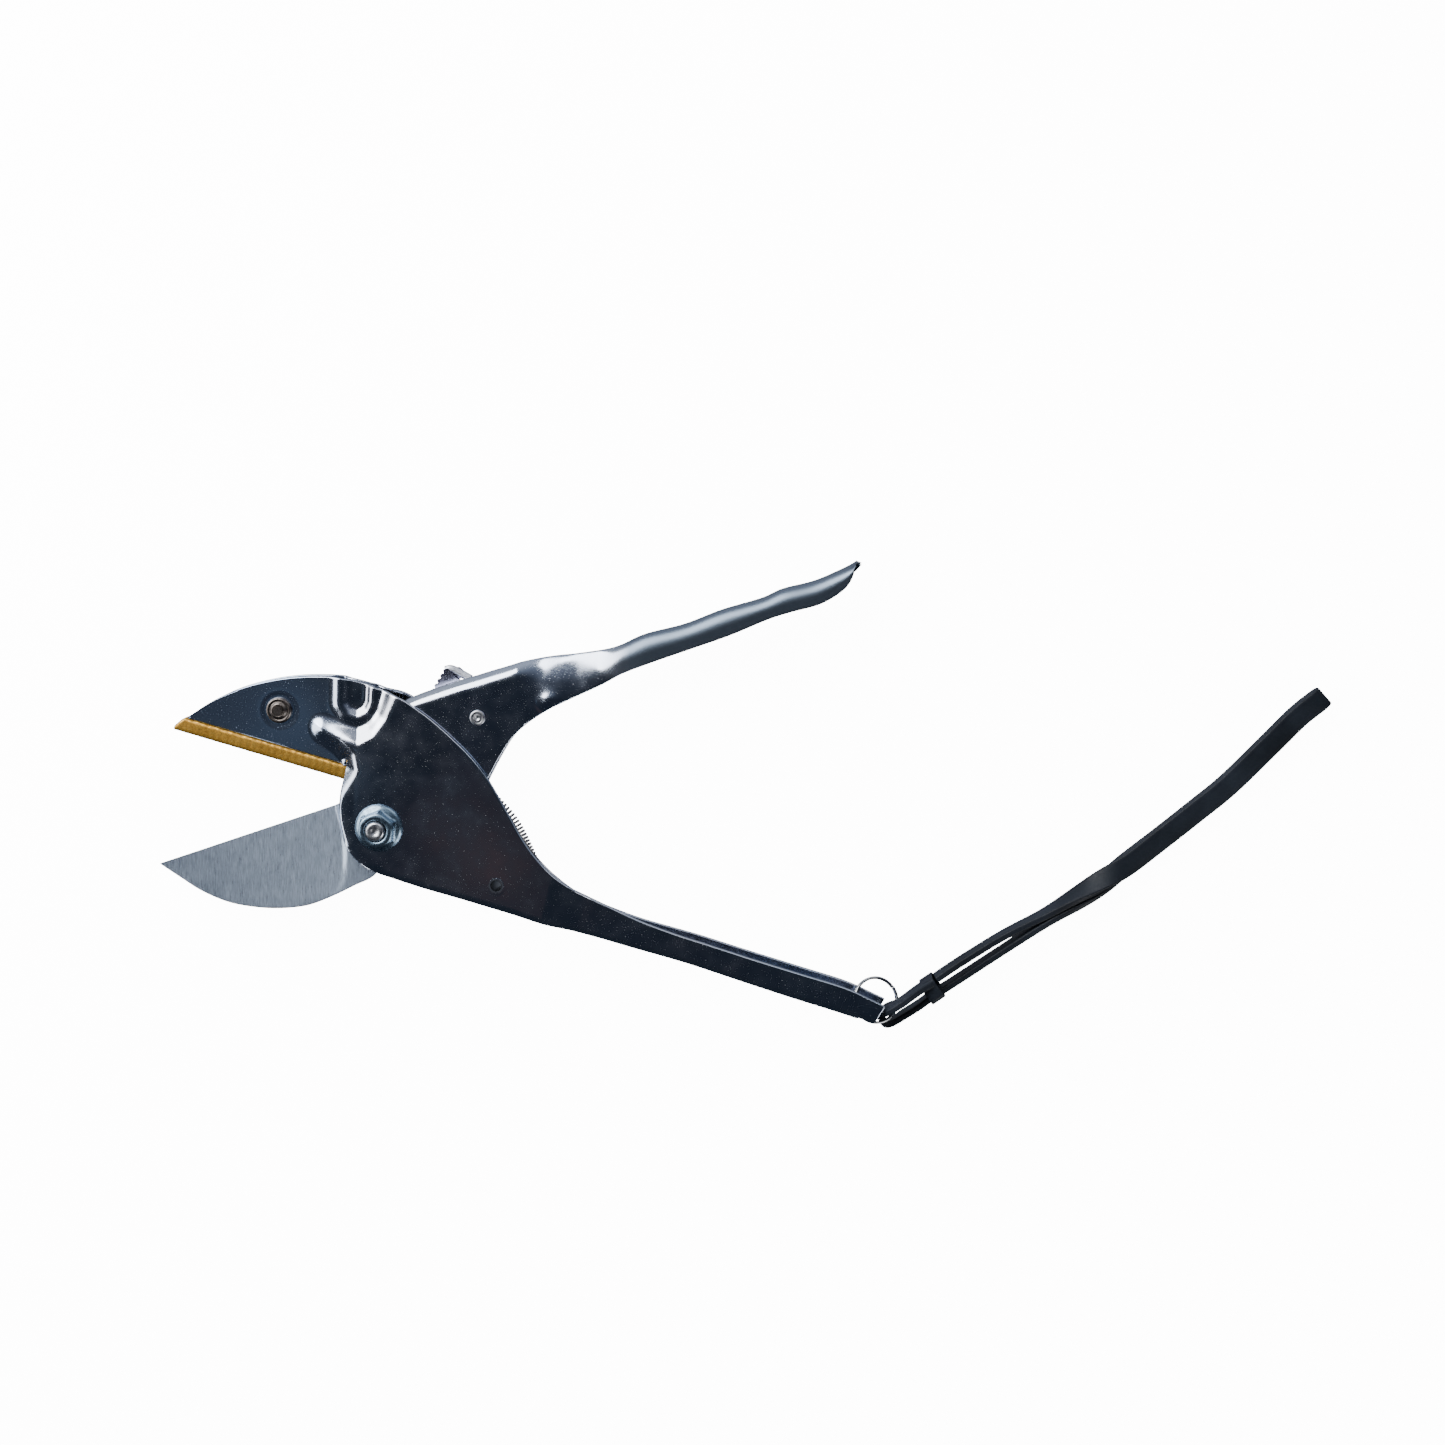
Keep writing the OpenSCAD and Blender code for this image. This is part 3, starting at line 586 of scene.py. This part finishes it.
def buildBody(s):
    # the folded sheet's two halves, with the eyelet's hole and the ring's hole left open
    def foldAmount(t):
        throat = smoothStep(t, throatTop - 0.4, throatTop + 0.3) * (1 - smoothStep(t, 11.5, 14.0)) * 0.85
        return np.maximum(throat, smoothStep(t, spineStart - 1.0, spineStart + 1.2))

    def reachIn(t, start):
        # how far from the middle plane the sheet ends: a lip at the throat, closed along the spine
        lip = (1 - smoothStep(t, 8.6, 11.4)) * (t >= throatTop)
        z = start - np.maximum(0, (start - 1.85)) * lip
        return np.where(t >= spineStart, 0, z)

    def upRadius(t):
        return s["foldRadius"] + 2.8 * smoothStep(t, 28.8, 31.5)

    foldRows, wallRows, inRows = 10, 43, 4
    times = stationTimes(bodyLower, bodyUpper, s["step"], 1.4, 22)
    plates = foldedSheet(bodyLower, bodyUpper, times, upRadius, s["foldRadius"] + 0.6, foldAmount,
                         reachIn, bodyHeight, (foldRows, wallRows, inRows), throatTop, notchedUpper)
    cols = plates[0].shape[1]
    points, faces, start = [], [], 0
    ringAt = np.array(ringShape["at"])
    tilt = math.radians(ringShape["tilt"])
    ringOut = np.array([math.sin(tilt) / math.sqrt(2), math.sin(tilt) / math.sqrt(2), math.cos(tilt)])
    for side, grid in zip((1, -1), plates):
        pts = grid.reshape(-1, 3).copy()
        quads = gridFaces(len(times), cols)
        quadTime = times[quads[:, 0] // cols]
        quadCol = quads[:, 0] % cols
        lip = (quadTime >= throatTop) & (quadTime < 11.3)
        hasInner = (quadTime >= spineStart) | lip
        quads = quads[(quadCol >= inRows) | hasInner]
        pts, quads = openHole(pts, quads, eyeletAt, 1.95, 3.2)
        centres = pts[quads].mean(1) - ringAt
        off = centres @ ringOut
        radial = np.linalg.norm(centres - off[:, None] * ringOut, axis=1)
        quads = quads[np.hypot(radial - ringShape["radius"], off) > 1.45]
        faces.append((quads[:, ::-1] if side > 0 else quads) + start)
        points.append(pts)
        start += len(pts)
    piece = addMesh("bodySheet", np.concatenate(points), np.concatenate(faces))
    weldAndSolidify(piece, s["sheet"], s["edge"])
    return piece


furthestBevel = 0.42


def evaluatedMesh(piece):
    # the mesh as its modifiers make it
    bpy.context.view_layer.update()
    graph = bpy.context.evaluated_depsgraph_get()
    return bpy.data.meshes.new_from_object(piece.evaluated_get(graph), depsgraph=graph)


def weldAndSolidify(piece, thick, edge):
    # merges the halves, gives the sheet its thickness and softens its edges
    bm = bmesh.new()
    bm.from_mesh(piece.data)
    bmesh.ops.remove_doubles(bm, verts=bm.verts, dist=2e-6)
    loose = [v for v in bm.verts if not v.link_faces]
    bmesh.ops.delete(bm, geom=loose, context="VERTS")
    bm.to_mesh(piece.data)
    bm.free()
    mod = piece.modifiers.new("sheet", "SOLIDIFY")
    mod.thickness = thick * mm
    mod.offset = -1
    mod.use_quality_normals = True
    soft = addBevel(piece, edge, 2, 45)
    soft.use_clamp_overlap = False
    soft.show_viewport = False
    plain = evaluatedMesh(piece)
    soft.show_viewport = True
    bevelled = evaluatedMesh(piece)
    piece.modifiers.clear()
    piece.data = bevelled
    # sharp inner corners throw a few of the bevel's points off, so each one that is further from
    # the plain sheet than the bevel could take it goes back to the sheet's nearest point
    sheetTree = KDTree(len(plain.vertices))
    for i, vertex in enumerate(plain.vertices):
        sheetTree.insert(vertex.co, i)
    sheetTree.balance()
    points = np.empty((len(bevelled.vertices), 3), np.float32)
    bevelled.vertices.foreach_get("co", points.ravel())
    found = [sheetTree.find(point) for point in points]
    stray = np.flatnonzero([away > furthestBevel * mm for _, _, away in found])
    for i in stray:
        points[i] = found[i][0]
    bevelled.vertices.foreach_set("co", points.ravel())


body = buildBody(bodyShape)
bodyMat = platedMetal("platedBody", (0.52, 0.58, 0.68), (0.56, 0.58, 0.65), 0.14,
                      {"from": -6, "to": -24, "rough": 0.18, "tone": (0.5, 0.6, 0.78)})
paint(body, bodyMat)
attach(body, "lower")
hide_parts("body")
print("body", len(body.data.polygons))

# the upper handle is folded the same way, with its spine on top
leverSpine = [(8, 37.8), (10.5, 38.9), (13, 39.9), (16.1, 41), (19.5, 42.2), (24, 43.7), (29.1, 45.2),
              (33.5, 46.6), (38.2, 48), (43, 49.5), (49.2, 50.8), (54, 51.5), (58.8, 52), (66.8, 53.2),
              (71.9, 54.6), (79.2, 57.9), (90.9, 61), (101.7, 65.2), (113.3, 68.7), (119.6, 71.5),
              (128.5, 73.8), (135.6, 76.8), (139.2, 78.6), (141.0, 79.7)]
leverEdge = [(-6.5, 3), (-5.5, -4.5), (0, -7.6), (7, -6.5), (14, -3), (22, 1.5), (29, 8), (32.6, 14.8),
             (35.8, 20.7), (39.6, 26.6), (44.5, 31.3), (50.5, 35.3), (57.5, 38.8), (66.5, 43),
             (73, 46.5), (81.5, 49.8), (92.5, 53.7), (104.5, 58), (115.3, 62.6), (122, 64.8),
             (130.5, 67.2), (136.6, 70.8), (139.5, 74.2), (141.0, 78.9)]


def leverHeight(flat):
    # half width: a shallow dish behind the neck and a swell at it, then an even grip
    x, y = flat[:, 0], flat[:, 1]
    bump = np.exp(-(((x - 51.3) / 2.8) ** 2 + ((y - 38.6) / 2.6) ** 2))
    upWall = (y - 35 - 0.5 * (x - 50)) / (16 - 0.36 * (x - 50))
    later = 1 - smoothStep(x, 50, 60)
    across = smoothStep(x, 41, 49) * (1 - smoothStep(x, 65, 73)) * (1 - 0.38 * later)
    slope = across * smoothStep(upWall, 0.4 * later, 1.0)
    narrow = smoothStep(x, 36, 50) * (1 - smoothStep(x, 66, 80))
    return leverShape["half"] - 0.5 * narrow + leverShape["bump"] * bump - leverShape["dish"] * slope


def buildLever(s):
    # the same folded sheet all along, closed at the middle plane, with the pivot's hole left open
    def foldAmount(t):
        return np.ones_like(t)

    def reachIn(t, start):
        return np.zeros_like(t)

    def upRadius(t):
        # square shouldered near the pivot, sloping wide behind the neck, rounded along the grip
        x = curveThrough(leverSpine, t)[:, 0]
        wide = smoothStep(x, 40, 52) * (1 - smoothStep(x, 66, 74))
        return s["foldRadius"] + (s["neckRadius"] - s["foldRadius"]) * wide + 2.8 * smoothStep(x, 66, 78)

    times = stationTimes(leverSpine, leverEdge, s["step"])
    plates = foldedSheet(leverSpine, leverEdge, times, upRadius, s["half"] - 0.15, foldAmount, reachIn,
                         leverHeight, (20, 30, 2))
    cols = plates[0].shape[1]
    points, faces, start = [], [], 0
    for side, grid in zip((1, -1), plates):
        pts = grid.reshape(-1, 3).copy()
        quads = gridFaces(len(times), cols)
        pts, quads = openHole(pts, quads, (0, 0), 3.1, 6.5)
        faces.append((quads if side > 0 else quads[:, ::-1]) + start)
        points.append(pts)
        start += len(pts)
    piece = addMesh("leverSheet", np.concatenate(points), np.concatenate(faces))
    weldAndSolidify(piece, s["sheet"], s["edge"])
    return piece


lever = buildLever(leverShape)
leverMat = platedMetal("platedLever", (0.5, 0.56, 0.68), (0.56, 0.6, 0.68), 0.14,
                       {"from": 66, "to": 75, "rough": 0.37, "tone": (0.15, 0.185, 0.235)})
paint(lever, leverMat)
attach(lever, "lever")
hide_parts("upper_handle")
print("upper handle", len(lever.data.polygons))

bladeEdge = [(-68.9, -13.15), (-62, -10.77), (-54, -8.02), (-46, -5.26), (-38, -2.51), (-30, 0.25),
             (-22, 3.0), (-15.5, 5.24), (-11.3, 6.68), (-6.5, 7.6), (0, 10.5), (4, 17), (12, 18),
             (19, 16.5), (21, 12)]
bladeBack = [(-68.5, -13.6), (-62.8, -17.3), (-56, -21.5), (-48, -24.7), (-39.8, -26.1), (-31.8, -26.3),
             (-23.7, -25.3), (-16.5, -22.6), (-9, -18.9), (-3, -15.8), (1, -10.5), (6, -7), (12, -2.5),
             (17, 4), (21, 8)]
grindLimit = [(-13.0, 8), (-12.4, 4), (-10.7, -2.7), (-10.6, -10), (-11.0, -16.5), (-12.6, -20.3),
              (-16, -23.5)]


def bladeThickness(flat):
    # half thickness: thin at the edge, growing with the distance from it, full past the grind's limit
    s = bladeShape
    a = math.radians(s["angle"])
    q = s["reach"] - (flat @ np.array([-math.sin(a), math.cos(a)]))
    ground = s["edge"] + (s["half"] - 0.12 - s["edge"]) * np.clip(q / s["groundTo"], 0, 1) ** 1.1
    limit = np.interp(flat[:, 1], [p[1] for p in grindLimit[::-1]], [p[0] for p in grindLimit[::-1]])
    amount = smoothStep(limit - flat[:, 0], 0, 2.2)
    return s["half"] - (s["half"] - ground) * amount


def buildBlade():
    # straight lines between the cutting edge and the back, half the thickness above and below
    heel = 8
    times = stationTimes(bladeEdge, bladeBack, 0.5)
    straight = times <= heel
    edge = np.concatenate([curveThrough(bladeEdge[:heel + 1], times[straight]),
                           curveThrough(bladeEdge[heel:], times[~straight] - heel)])
    backLine = curveThrough(bladeBack, times)
    rows = np.linspace(0, 1, 46)
    rows = rows ** 1.15
    flat = edge[:, None] + (backLine - edge)[:, None] * rows[None, :, None]
    shape = flat.shape[:2]
    half = bladeThickness(flat.reshape(-1, 2)).reshape(shape)
    points, faces = [], []
    n = shape[0] * shape[1]
    for side in (1, -1):
        pts = np.concatenate([flat, (midZ + side * half)[..., None]], 2).reshape(-1, 3)
        quads = gridFaces(*shape)
        pts, quads = openHole(pts, quads, (0, 0), 3.1, 6.0)
        faces.append((quads[:, ::-1] if side > 0 else quads) + (0 if side > 0 else n))
        points.append(pts)
    near = faces[0]
    # side walls: every open border edge of the front skin is joined to the back skin
    edges = {}
    for quad in near.tolist():
        for a, b in zip(quad, quad[1:] + quad[:1]):
            if (b, a) in edges:
                edges.pop((b, a))
            else:
                edges[(a, b)] = True
    walls = [[b, a, a + n, b + n] for a, b in edges]
    piece = addMesh("bladePlate", np.concatenate(points), np.concatenate([near, faces[1], np.array(walls)]))
    addBevel(piece, 0.12, 2, 50)
    return piece


blade = buildBlade()
bladeMat = groundSteel("bladeSteel")
paint(blade, bladeMat)
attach(blade, "lever")
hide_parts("blade")
print("blade", len(blade.data.polygons))

def buildAnvil(s):
    # a rounded bar with slightly smaller ends, and under it the stem that the jaw clamps
    n = 150
    along = np.linspace(s["left"], s["right"], n)
    section = roundedBox(s["half"], s["height"] / 2, 1.2, 8)
    rings = np.zeros((n, len(section), 3))
    for i, x in enumerate(along):
        endIn = min(x - s["left"], s["right"] - x)
        shrink = math.sqrt(max(0.0, 1 - max(0.0, 1 - endIn / 0.9) ** 2)) * 0.35 + 0.65
        rings[i, :, 0] = x
        rings[i, :, 1] = s["height"] / 2 + section[:, 1] * shrink
        rings[i, :, 2] = section[:, 0] * shrink
    # the nose leans back: points near the top of the left end move right
    top = np.clip(rings[..., 1] / s["height"], 0, 1)
    rings[..., 0] += top ** 1.5 * 3.0 * np.clip(1 - (rings[..., 0] - s["left"]) / 9, 0, 1)
    waves = np.sin(rings[..., 0] * 2.1 + 3 * rings[..., 1])
    bumps = waves * np.sin(rings[..., 0] * 0.83 + 2 * rings[..., 2])
    rings[..., 1] += 0.05 * bumps
    rings[..., 2] += 0.05 * bumps * np.sign(rings[..., 2])
    points = [rings.reshape(-1, 3)]
    m = len(section)
    faces = gridFaces(n, m, loopCols=True).tolist()
    faces += [list(range(m))[::-1], list(range((n - 1) * m, n * m))]
    start = n * m
    for left, right, high in ((-59, -15.8, 9), (-50, -34, 14)):
        box = roundedBox((right - left) / 2, s["stemHalf"], 0.25, 3)
        for y in (s["height"] - 0.6, high):
            level = np.full(len(box), float(y))
            points.append(np.stack([(left + right) / 2 + box[:, 0], level, -box[:, 1]], 1))
        k = len(box)
        faces += (gridFaces(2, k, loopCols=True) + start).tolist()
        faces += [list(range(start, start + k))[::-1], list(range(start + k, start + 2 * k))]
        start += 2 * k
    local = np.concatenate(points)
    a = math.radians(s["angle"])
    x, y = local[:, 0], local[:, 1] + s["reach"]
    world = np.stack([x * math.cos(a) - y * math.sin(a), x * math.sin(a) + y * math.cos(a),
                      midZ + local[:, 2]], 1)
    return addMesh("anvilBar", world, faces)


anvil = buildAnvil(anvilShape)
paint(anvil, castBrass("castBrass"))
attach(anvil, "lower")
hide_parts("anvil")

def buildSpring(s):
    # the middle line bends a little inside the handles; wire turns round it at even steps
    t = np.linspace(0, 1, s["turns"] * 18 + 1)
    line = curveThrough(s["line"], t * (len(s["line"]) - 1))
    ahead = unitRows(np.gradient(line, axis=0))
    side = np.stack([ahead[:, 1], -ahead[:, 0], 0 * t], 1)
    ahead = np.column_stack([ahead, 0 * t])
    centre = np.column_stack([line, np.full(len(t), midZ)])
    centre += ahead * (0.4 * (1 - 2 * t))[:, None]
    angle = (2 * math.pi * s["turns"] * t)[:, None]
    path = centre + s["radius"] * (np.cos(angle) * side + np.sin(angle) * np.array([0, 0, 1.0]))
    ring = np.linspace(0, 2 * math.pi, 9)[:-1]
    section = s["wire"] * np.stack([np.cos(ring), np.sin(ring)], 1)
    return tube("spring", sweep(path, section, ahead))


spring = buildSpring(springShape)
paint(spring, brightMetal("springSteel", (0.3, 0.29, 0.28), 0.3))
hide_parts("return_spring")
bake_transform(spring)


def buildRing(s):
    # two turns of wire, r cos a and r sin a, stepping over itself halfway, in a tilted plane
    t = np.linspace(0, 1, 361)
    angle = 2 * math.pi * 2 * t + 0.6
    lift = s["pitch"] * (smoothStep(t, 0.42, 0.58) - 0.5)
    tilt = Matrix.Rotation(math.radians(s["tilt"]), 3, Vector((-1, 1, 0)).normalized())
    local = np.stack([s["radius"] * np.cos(angle), s["radius"] * np.sin(angle), lift], 1)
    turn = np.array(tilt)
    path = local @ turn.T + np.array(s["at"])
    ring = np.linspace(0, 2 * math.pi, 13)[:-1]
    section = s["wire"] * np.stack([np.cos(ring), np.sin(ring)], 1)
    normal = turn @ np.array([0, 0, 1.0])
    return tube("ringWire", sweep(path, section, np.tile(normal, (len(path), 1))))


ring = buildRing(ringShape)
paint(ring, brightMetal("ringNickel", (0.52, 0.53, 0.54), 0.16))
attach(ring, "ring")
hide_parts("split_ring")
print("spring and ring")

# small hardware, and below it the nodes that keep their CAD shape
zinc = brightMetal("zincPlate", (0.24, 0.34, 0.44), 0.24, 0.12)
bright = brightMetal("brightSteel", (0.58, 0.59, 0.62), 0.26, 0.12)
nickel = brightMetal("dullNickel", (0.2, 0.175, 0.16), 0.26, 0.25, 1400)
catchMat = platedMetal("platedCatch", (0.3, 0.31, 0.42), (0.36, 0.36, 0.46), 0.22)


def buildNut(n):
    # a turned flange with a six-sided body on it
    b, top = n["base"], n["base"] + n["height"]
    roundBelow, hexFrom, hexTo = 5, 6, 8
    profile = [(3.05, b), (n["flange"], b), (n["flange"], b + 0.6), (n["flange"] - 0.2, b + 0.95),
               (6.2, b + 1.3), (5.4, b + 1.6), (0, b + 1.8), (0, top - 1.3), (5.5, top - 0.8),
               (5.15, top - 0.35), (4.75, top - 0.08), (4.2, top), (3.5, top), (3.25, top - 0.3),
               (3.05, top - 0.8)]

    def flats(k, r, angle):
        # six flats: the radius is the half width over the cosine of the angle from the flat's middle
        turn = (angle - math.radians(n["turn"]) + math.pi / 6) % (math.pi / 3) - math.pi / 6
        hexagon = n["flats"] / 2 / np.cos(turn)
        if k < 4 or k > 10:
            return np.full(len(angle), float(r))
        if k <= roundBelow:
            return np.maximum(hexagon, r)
        return hexagon if k < hexTo else np.minimum(hexagon, r)

    return turned("pivotNut", profile, steps=96, shape=flats, loop=True)


def buildBolt(b):
    # a low round head, a plain shank and rings for the thread
    r = b["radius"]
    profile = [(0.4, 0.25), (1.6, 0.05), (4.3, 0), (5.3, 0.3), (5.85, 0.9), (b["head"], 1.6),
               (b["head"], 2.25), (r, 2.25), (r, b["threadFrom"])]
    z = b["threadFrom"]
    while z < b["end"] - 0.9:
        profile += [(r - 0.32, z + b["pitch"] / 2), (r, z + b["pitch"])]
        z += b["pitch"]
    profile += [(2.5, b["end"] - 0.12), (2.1, b["end"]), (1.25, b["end"]), (1.0, b["end"] - 0.25),
                (0.3, b["end"] - 0.4)]
    return turned("pivotBolt", profile, steps=64)


nut = buildNut(nutShape)
paint(nut, zinc)
bolt = buildBolt(boltShape)
paint(bolt, bright)
rivetHead = [(0.1, 1.45), (2.0, 1.45), (2.6, 1.95), (2.6, 2.35), (1.5, 2.35), (1.5, 12.85)]
rivetTop = [(2.2, 12.85), (2.3, 13.15), (2.15, 13.5), (1.85, 13.62), (1.5, 13.45), (1.25, 13.4),
            (0.95, 13.6), (0.6, 13.58), (0.42, 13.2), (0.1, 13.1)]
catchRivet = turned("catchRivet", rivetHead + rivetTop, (29.9, 33.1))
paint(catchRivet, bright)
anvilNutRim = [(1.5, 11.6), (3.8, 11.6), (3.9, 12.1), (3.65, 12.6), (3.2, 12.85), (2.9, 12.55),
               (2.5, 12.5), (2.3, 13.1), (1.95, 13.4), (1.5, 13.35)]
anvilNut = turned("anvilNut", anvilNutRim, (-29.7, 34.7), loop=True)
paint(anvilNut, nickel)
rimLine = [(18.5, 45.9, 2.3), (20.4, 46.2, 2.3), (23.0, 45.0, 2.3), (26.2, 43.3, 2.5)]
rim = curveThrough(rimLine, np.linspace(0, 3, 40))
rimWide = np.tile(unitRows(np.array([[0.45, 0.89, -0.5]])), (len(rim), 1))
catchRim = tube("catchRim", sweep(rim, roundedBox(1.15, 0.95, 0.8, 6), rimWide))
paint(catchRim, brightMetal("catchEdge", (0.6, 0.62, 0.68), 0.36, 0.1))
smallPieces = [(nut, "lower", "pivot_nut", "zinc"), (bolt, "lower", "pivot_bolt", "bright_steel"),
               (anvilNut, "lower", "anvil_nut", "dull_nickel"),
               (catchRivet, "lever", "catch_rivet", "bright_steel"),
               (catchRim, "latch", None, "plated_lever")]
for piece, bodyName, nodeName, slotName in smallPieces:
    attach(piece, bodyName)
    if nodeName:
        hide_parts(nodeName)

eyeletMat, eyeletTree, eyeletShader = newMaterial("eyeletTin", (0.6, 0.64, 0.7), 1.0, 0.25)
# painted shade: near-black inside the bore, scuffed metal outside it, by distance from the rivet's own axis
fromAxis = eyeletTree.nodes.new("ShaderNodeVectorMath")
fromAxis.operation = "DISTANCE"
fromAxis.inputs[1].default_value = (eyeletAt[0] * mm, eyeletAt[1] * mm, 0)
eyeletTree.links.new(objectSpace(eyeletTree, scale=(1, 1, 0)), fromAxis.inputs[0])
outside = between(eyeletTree, fromAxis.outputs["Value"], 1.62, 1.72)
scuffed = ramp(eyeletTree, noise(eyeletTree, objectSpace(eyeletTree), 900, 3),
               [(0.3, (0.45, 0.5, 0.56)), (0.7, (0.7, 0.74, 0.8))])
eyeletTree.links.new(mix(eyeletTree, outside, (0.015, 0.016, 0.02), scuffed),
                     eyeletShader.inputs["Base Color"])

hardware = {"anvil_screw": nickel, "body_eyelet": eyeletMat, "catch_washer": bright,
            "blade_rivet": bright, "spacer_front": bladeMat, "spacer_back": bladeMat,
            "spring_peg_upper": bright, "spring_peg_lower": bright, "catch": catchMat}
for name, mat in hardware.items():
    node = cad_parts[name]
    paint(node, mat)
    addBevel(node, 0.15, 3, 35)
print("hardware", len(hardware))

# the floor is flat round the tool and curves up into a dome, in metres
bowl = [(0.002, 0.0), (1.6, 0.0), (2.2, 0.12), (2.7, 0.5), (3.0, 1.1), (2.9, 1.9), (2.3, 2.6), (1.2, 3.0),
        (0.01, 3.1)]
floor = turned("floor", [(r / mm, z / mm) for r, z in bowl], steps=96)
floorMat, floorTree, floorShader = newMaterial("floorWhite", (0.9, 0.9, 0.9), 0.0, 0.8)
floorShader.inputs["Emission Color"].default_value = (1, 1, 1, 1)
floorShader.inputs["Emission Strength"].default_value = studio["floor"]
paint(floor, floorMat)
floor.visible_glossy = False
floor.visible_shadow = False
floor.visible_diffuse = False

world = bpy.data.worlds.new("studio")
world.use_nodes = True
sky = world.node_tree
# the room is dark overhead and grey beyond the top of the picture: brightness follows the direction's
# dot product with a line that rises slightly from the far side
coords = sky.nodes.new("ShaderNodeTexCoord")
towards = sky.nodes.new("ShaderNodeVectorMath")
towards.operation = "DOT_PRODUCT"
towards.inputs[1].default_value = studio["greySide"]
sky.links.new(coords.outputs["Generated"], towards.inputs[0])
shift = sky.nodes.new("ShaderNodeMath")
shift.operation = "MULTIPLY_ADD"
shift.inputs[1].default_value = 0.5
shift.inputs[2].default_value = 0.5
sky.links.new(towards.outputs["Value"], shift.inputs[0])
room = ramp(sky, shift.outputs[0], studio["room"])
sky.links.new(room, sky.nodes["Background"].inputs["Color"])
bpy.context.scene.world = world


def addPanel(name, at, sizeX, sizeY, power, colour=(1, 1, 1)):
    data = bpy.data.lights.new(name, "AREA")
    data.shape = "RECTANGLE"
    data.size = sizeX
    data.size_y = sizeY
    data.energy = power
    data.color = colour
    lamp = bpy.data.objects.new(name, data)
    aim = Vector(at) - Vector((0.06, 0.01, 0))
    lamp.matrix_world = Matrix.Translation(Vector(at)) @ aim.to_track_quat("Z", "Y").to_matrix().to_4x4()
    bpy.context.scene.collection.objects.link(lamp)


addPanel("panelTop", (-0.51, 0.61, 0.54), 0.98, 0.72, 19)
addPanel("panelTopRight", (0.45, 0.62, 0.3), 0.5, 0.4, 0.9)
addPanel("panelLeft", (-0.75, 0.02, 0.42), 0.7, 0.36, 3.5)
addPanel("panelRight", (0.6, -0.5, 0.3), 0.5, 0.35, 3)
addPanel("panelWarm", (-0.055, -0.12, 0.5), 0.07, 0.055, 0.00065, (1, 0.56, 0.48))
addPanel("panelCool", (-0.16, -0.055, 0.5), 0.06, 0.045, 0.0012, (0.6, 0.78, 1))
print("light")
